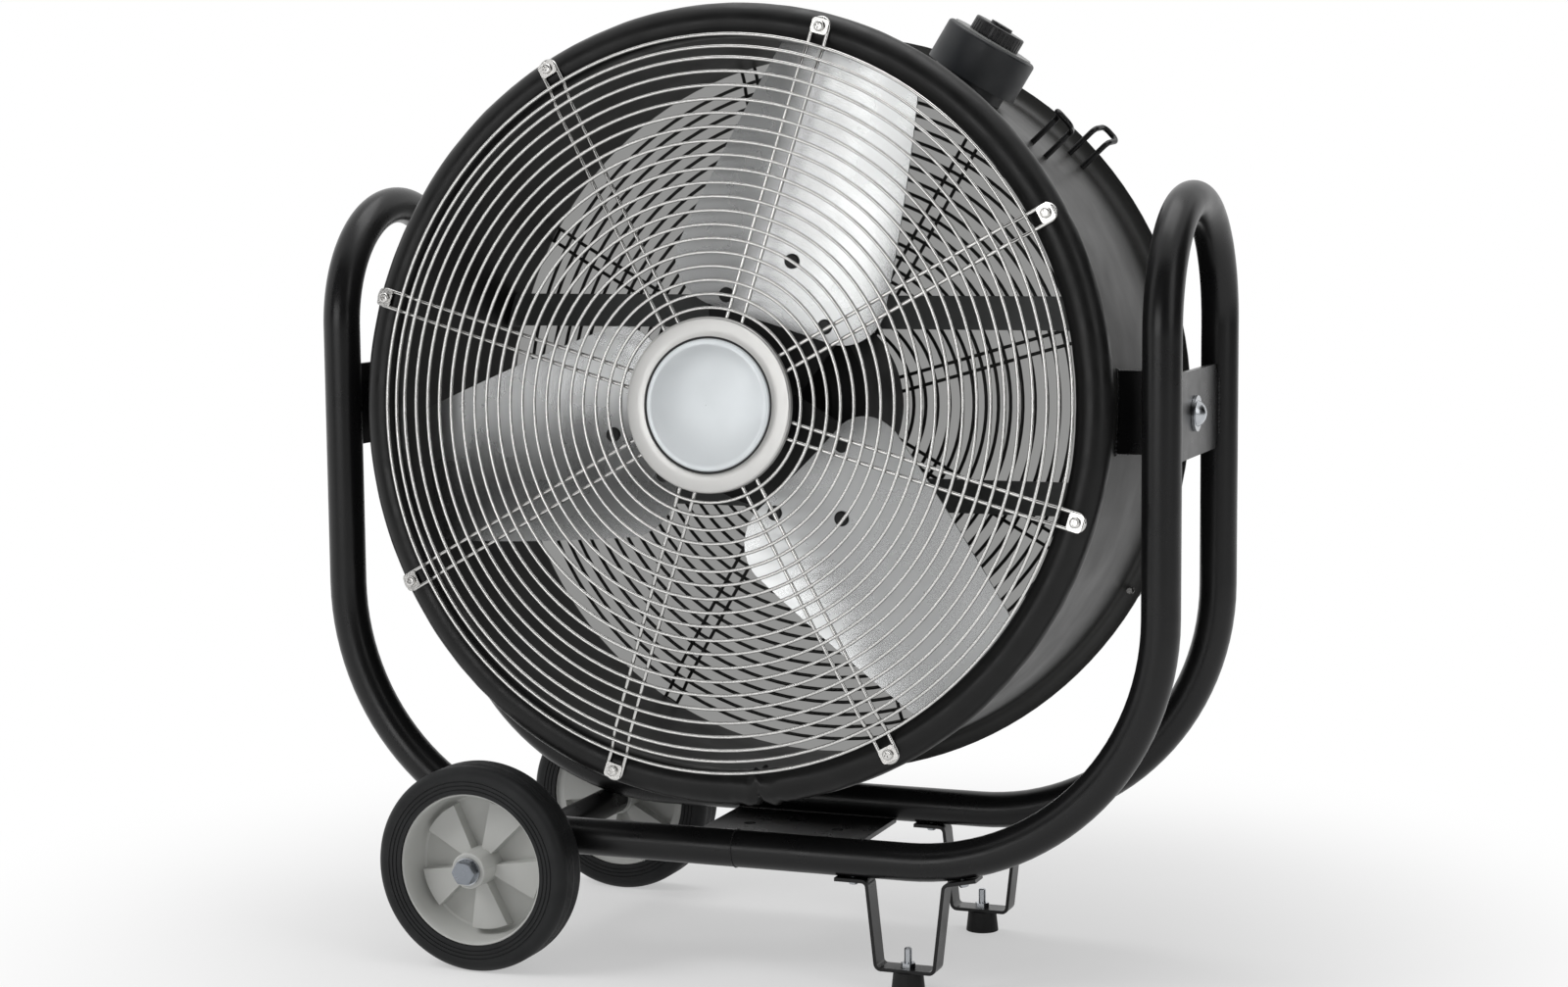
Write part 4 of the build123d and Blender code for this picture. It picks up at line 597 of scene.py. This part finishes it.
TUBE_JOINT_X, TUBE_JOINT_BEAD = 2 * MM, 0.6 * MM
TUBE_JOINT_POINTS = 90
PIVOT_PLATE_HALF_THICK = 2.5 * MM
PIVOT_WELD_HALF_LEN, PIVOT_PLATE_BEAD = 24 * MM, 1.7 * MM
BASE_WELD_INSET, BASE_WELD_END = 0.4 * MM, 4 * MM
BASE_TOP_BEAD, BASE_BOTTOM_BEAD = 1.6 * MM, 1.4 * MM
BRACKET_HALF_LEN, BRACKET_HALF_HIGH = 55 * MM, 34 * MM
BRACKET_BEAD = 1.8 * MM
BRACKET_STEPS = 60


def weld_line(points, size, closed=False):
    """Points and faces of a rippled weld bead along a line of points. size is its radius."""
    vertices = []
    line = [Vector(p) for p in points]
    count = len(line)
    for index, here in enumerate(line):
        before = line[(index - 1) % count] if closed or index else here
        after = line[(index + 1) % count] if closed or index < count - 1 else here
        along = (after - before).normalized()
        upright = abs(along.z) > 0.9
        side = along.orthogonal() if upright else along.cross(Vector((0, 0, 1)))
        side.normalize()
        up = side.cross(along)
        reach = size * sum((share * math.sin(index * turn) for share, turn in BEAD_RIPPLES), 1)
        for corner in range(BEAD_SIDES):
            angle = 2 * math.pi * corner / BEAD_SIDES
            vertices.append(here + reach * (math.cos(angle) * side + math.sin(angle) * up))
    faces = skin(count, BEAD_SIDES, closed)
    if not closed:
        faces.append(tuple(range(BEAD_SIDES))[::-1])
        faces.append(tuple(range((count - 1) * BEAD_SIDES, count * BEAD_SIDES)))
    return vertices, faces


def straight(start, end):
    """Evenly spaced points from start to end."""
    start, end = Vector(start), Vector(end)
    count = max(2, int((end - start).length / BEAD_STEP))
    return [start.lerp(end, i / count) for i in range(count + 1)]


def tube_joint(x):
    """Painted-over joint round the front bottom tube."""
    ring = []
    for step in range(TUBE_JOINT_POINTS):
        angle = 2 * math.pi * step / TUBE_JOINT_POINTS
        reach = TUBE_R + BEAD_OFFSET
        ring.append((x, -SIDE_Y + reach * math.cos(angle),
                     FLOOR_TUBE_Z + reach * math.sin(angle)))
    return weld_line(ring, TUBE_JOINT_BEAD, closed=True)


def frame_welds():
    """Beads at the pivot plates and the base plate, and the front bottom tube's joint."""
    beads = [tube_joint(TUBE_JOINT_X)]
    for x_side in (-1, 1):
        for y_side in (-1, 1):
            for face in (-1, 1):
                x = x_side * SIDE_X + face * PIVOT_PLATE_HALF_THICK
                y = y_side * (SIDE_Y - TUBE_R + BEAD_OFFSET)
                ends = ((x, y, PIVOT_Z - PIVOT_WELD_HALF_LEN),
                        (x, y, PIVOT_Z + PIVOT_WELD_HALF_LEN))
                beads.append(weld_line(straight(*ends), PIVOT_PLATE_BEAD))
    low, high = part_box("base_plate")
    for y in (low.y, high.y):
        inner = y - math.copysign(BASE_WELD_INSET, y)
        for z, bead in ((high.z, BASE_TOP_BEAD), (low.z, BASE_BOTTOM_BEAD)):
            ends = ((low.x + BASE_WELD_END, inner, z), (high.x - BASE_WELD_END, inner, z))
            beads.append(weld_line(straight(*ends), bead))
    return merged(beads)


def drum_welds():
    """Beads round the two pivot brackets on the barrel."""
    beads = []
    for side in (-1, 1):
        for z in (-BRACKET_HALF_HIGH, BRACKET_HALF_HIGH):
            x = side * math.sqrt(DRUM_R ** 2 - z ** 2)
            ends = ((x, -BRACKET_HALF_LEN, z), (x, BRACKET_HALF_LEN, z))
            beads.append(weld_line(straight(*ends), BRACKET_BEAD))
        for y in (-BRACKET_HALF_LEN, BRACKET_HALF_LEN):
            end = []
            for step in range(BRACKET_STEPS + 1):
                z = -BRACKET_HALF_HIGH + 2 * BRACKET_HALF_HIGH * step / BRACKET_STEPS
                end.append((side * math.sqrt(DRUM_R ** 2 - z ** 2), y, z))
            beads.append(weld_line(end, BRACKET_BEAD))
    return merged(beads)


def make_welds():
    """The painted weld beads of the frame and of the drum's brackets."""
    vertices, faces = frame_welds()
    new_piece("frame_weld_beads", vertices, faces, "frame", looks["frame"])
    vertices, faces = drum_welds()
    new_piece("bracket_weld_beads", vertices, faces, "drum", looks["frame"], DRUM)


# ---- stage, light and camera ----------------------------------------------------------------
FLOOR_SIZE = 60
# The floor's white glow grows from this share to the whole of it between two distances from
# the middle of the fan.
FLOOR_GLOW_SHARE = 0.45
FLOOR_FADE = (0.25, 0.95)
WORLD_FILL = 0.36

# (radius, y) of the wall card's disc and of its turned-down rim, in the drum's frame
WALL_CARD_OUTLINE = ((0.316, 0.150), (0.334, 0.1428))
WALL_CARD_STEP = 3
WALL_GREY = (0.285, 0.285, 0.28)
DARK = (0.03, 0.03, 0.03)
GREY = (0.5, 0.5, 0.5)

PHOTO_WIDTH = 1600
FOCAL_LENGTH_PX = 2897.5
SENSOR_WIDTH = 36
CAMERA_PLACE = (0.8924, -2.3081, 0.6737)
CAMERA_YAW = math.radians(20.99)
CAMERA_PITCH = math.radians(6.22)
CAMERA_ROLL = math.radians(-0.53)


def background_rays(tree):
    """1 for the rays that show the background: from the camera, off gloss and through glass."""
    path = add_node(tree, "ShaderNodeLightPath")
    seen = path.outputs["Is Camera Ray"]
    for ray in ("Is Glossy Ray", "Is Transmission Ray"):
        either = add_node(tree, "ShaderNodeMath", operation="MAXIMUM")
        tree.links.new(seen, either.inputs[0])
        tree.links.new(path.outputs[ray], either.inputs[1])
        seen = either.outputs["Value"]
    return seen


def make_floor():
    """Pale floor that turns into the white surroundings away from the fan."""
    bpy.ops.mesh.primitive_plane_add(size=FLOOR_SIZE, location=(0, 0, 0))
    floor = bpy.context.object
    floor.name = "floor"
    material = new_material("floor", {"Base Color": (0.86, 0.86, 0.86, 1), "Roughness": 0.9})
    tree = material.node_tree
    shader = tree.nodes["Principled BSDF"]
    glow = add_node(tree, "ShaderNodeEmission")
    where = add_node(tree, "ShaderNodeTexCoord")
    away = add_node(tree, "ShaderNodeVectorMath", operation="LENGTH")
    fade = add_node(tree, "ShaderNodeMapRange",
                    {"From Min": FLOOR_FADE[0], "From Max": FLOOR_FADE[1],
                     "To Min": FLOOR_GLOW_SHARE}, interpolation_type="SMOOTHERSTEP")
    amount = add_node(tree, "ShaderNodeMath", operation="MULTIPLY")
    mix = add_node(tree, "ShaderNodeMixShader")
    out = tree.nodes["Material Output"]
    tree.links.new(where.outputs["Object"], away.inputs[0])
    tree.links.new(away.outputs["Value"], fade.inputs["Value"])
    tree.links.new(background_rays(tree), amount.inputs[0])
    tree.links.new(fade.outputs["Result"], amount.inputs[1])
    tree.links.new(amount.outputs["Value"], mix.inputs["Fac"])
    tree.links.new(shader.outputs["BSDF"], mix.inputs[1])
    tree.links.new(glow.outputs["Emission"], mix.inputs[2])
    tree.links.new(mix.outputs["Shader"], out.inputs["Surface"])
    floor.data.materials.append(material)


def make_world():
    """Plain fill light; white where the camera, gloss or glass sees it."""
    world = bpy.data.worlds.new("studio")
    bpy.context.scene.world = world
    world.use_nodes = True
    tree = world.node_tree
    background = tree.nodes["Background"]
    set_inputs(background, {"Color": (1, 1, 1, 1)})
    strength = add_node(tree, "ShaderNodeMapRange", {"To Min": WORLD_FILL, "To Max": 1.0})
    tree.links.new(background_rays(tree), strength.inputs["Value"])
    tree.links.new(strength.outputs["Result"], background.inputs["Strength"])


def make_wall_card():
    """Grey studio wall as it shows through the drum: a disc behind the rear guard.

    It is clear when seen from behind.
    """
    corners = []
    for radius, y in WALL_CARD_OUTLINE:
        for degrees in range(360, 0, -WALL_CARD_STEP):
            angle = math.radians(degrees)
            corners.append((radius * math.sin(angle), y, radius * math.cos(angle)))
    count = len(corners) // 2
    faces = [tuple(range(count))]
    faces += [(i, i + count, (i + 1) % count + count, (i + 1) % count) for i in range(count)]
    mesh = bpy.data.meshes.new("wall_card")
    mesh.from_pydata([DRUM @ Vector(c) for c in corners], [], faces)
    material = bpy.data.materials.new("wall_card")
    material.use_nodes = True
    tree = material.node_tree
    tree.nodes.clear()
    glow = add_node(tree, "ShaderNodeEmission", {"Color": (*WALL_GREY, 1)})
    clear = add_node(tree, "ShaderNodeBsdfTransparent")
    side = add_node(tree, "ShaderNodeNewGeometry")
    mix = add_node(tree, "ShaderNodeMixShader")
    out = add_node(tree, "ShaderNodeOutputMaterial")
    tree.links.new(side.outputs["Backfacing"], mix.inputs["Fac"])
    tree.links.new(glow.outputs["Emission"], mix.inputs[1])
    tree.links.new(clear.outputs["BSDF"], mix.inputs[2])
    tree.links.new(mix.outputs["Shader"], out.inputs["Surface"])
    mesh.materials.append(material)
    card = new_object("wall_card", mesh)
    card.visible_shadow = False
    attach(card, "drum")


def towards(place, aim):
    """Rotation that turns -Z from a place to its aim."""
    return (Vector(aim) - Vector(place)).to_track_quat("-Z", "Y")


def add_card(name, place, aim, width, height, colour, glow=0.0):
    """Flat card that only reflections see, dark or softly lit."""
    across = towards(place, aim).to_matrix()
    corners = [Vector(place) + across @ Vector((x * width / 2, y * height / 2, 0))
               for x, y in ((-1, -1), (1, -1), (1, 1), (-1, 1))]
    mesh = bpy.data.meshes.new(name)
    mesh.from_pydata(corners, [], [(0, 1, 2, 3)])
    material = new_material(name, {
        "Base Color": (*colour, 1), "Roughness": 1.0, "Specular IOR Level": 0.0,
        "Emission Color": (1, 1, 1, 1), "Emission Strength": glow})
    mesh.materials.append(material)
    card = new_object(name, mesh)
    card.visible_camera = False
    card.visible_diffuse = False
    card.visible_shadow = False
    card.visible_transmission = False


def add_softbox(name, place, aim, width, height, power, mirrored=True):
    """Rectangular studio light turned to its aim. mirrored lets reflections see it."""
    light = bpy.data.lights.new(name, "AREA")
    light.shape = "RECTANGLE"
    light.size = width
    light.size_y = height
    light.energy = power
    lamp = new_object(name, light)
    lamp.location = place
    lamp.rotation_mode = "QUATERNION"
    lamp.rotation_quaternion = towards(place, aim)
    lamp.visible_glossy = mirrored


def make_camera():
    """The photograph's viewpoint."""
    ahead = Vector((-math.sin(CAMERA_YAW) * math.cos(CAMERA_PITCH),
                    math.cos(CAMERA_YAW) * math.cos(CAMERA_PITCH), -math.sin(CAMERA_PITCH)))
    right = Vector((math.cos(CAMERA_YAW), math.sin(CAMERA_YAW), 0))
    up = right.cross(ahead)
    turned_right = math.cos(CAMERA_ROLL) * right + math.sin(CAMERA_ROLL) * up
    turned_up = -math.sin(CAMERA_ROLL) * right + math.cos(CAMERA_ROLL) * up
    camera = bpy.data.cameras.new("camera")
    camera.sensor_width = SENSOR_WIDTH
    camera.lens = FOCAL_LENGTH_PX * SENSOR_WIDTH / PHOTO_WIDTH
    holder = new_object("camera", camera)
    holder.matrix_world = (Matrix.Translation(CAMERA_PLACE)
                           @ Matrix((turned_right, turned_up, -ahead)).transposed().to_4x4())
    bpy.context.scene.camera = holder


dress_nodes()
make_tyre("front_tyre_ribbed", "front_tyre", "front_wheel", -1)
make_tyre("rear_tyre_ribbed", "rear_tyre", "rear_wheel", 1)
make_wheel_hub("front_wheel_centre", "front_wheel_hub", "front_wheel", -1)
make_wheel_hub("rear_wheel_centre", "rear_wheel_hub", "rear_wheel", 1)
make_trim()
make_hub_cap()
make_welds()
make_floor()
make_world()
make_wall_card()
add_card("dark_room", place=(1.2, -6.0, 3.4), aim=(1.2, 0, 3.4), width=16, height=13, colour=DARK)
add_card("soft_window", place=(-0.66, -3.9, 1.0), aim=(0, 0, 0.6), width=2.3, height=1.15,
         colour=GREY, glow=3.2)
add_card("dark_side", place=(5.0, 0.5, 1.4), aim=(0, 0, 0.6), width=9, height=6, colour=DARK)
add_softbox("key", place=(-2.1, -1.75, 2.5), aim=(0, 0, 0.45), width=1.7, height=1.7, power=50,
            mirrored=False)
add_softbox("side", place=(2.2, -1.0, 1.3), aim=(0.1, 0, 0.45), width=0.9, height=1.6, power=8)
add_softbox("top", place=(0.1, 0.3, 2.6), aim=(0, 0, 0.4), width=1.8, height=1.2, power=17)
make_camera()
bpy.context.scene.view_settings.view_transform = "Standard"
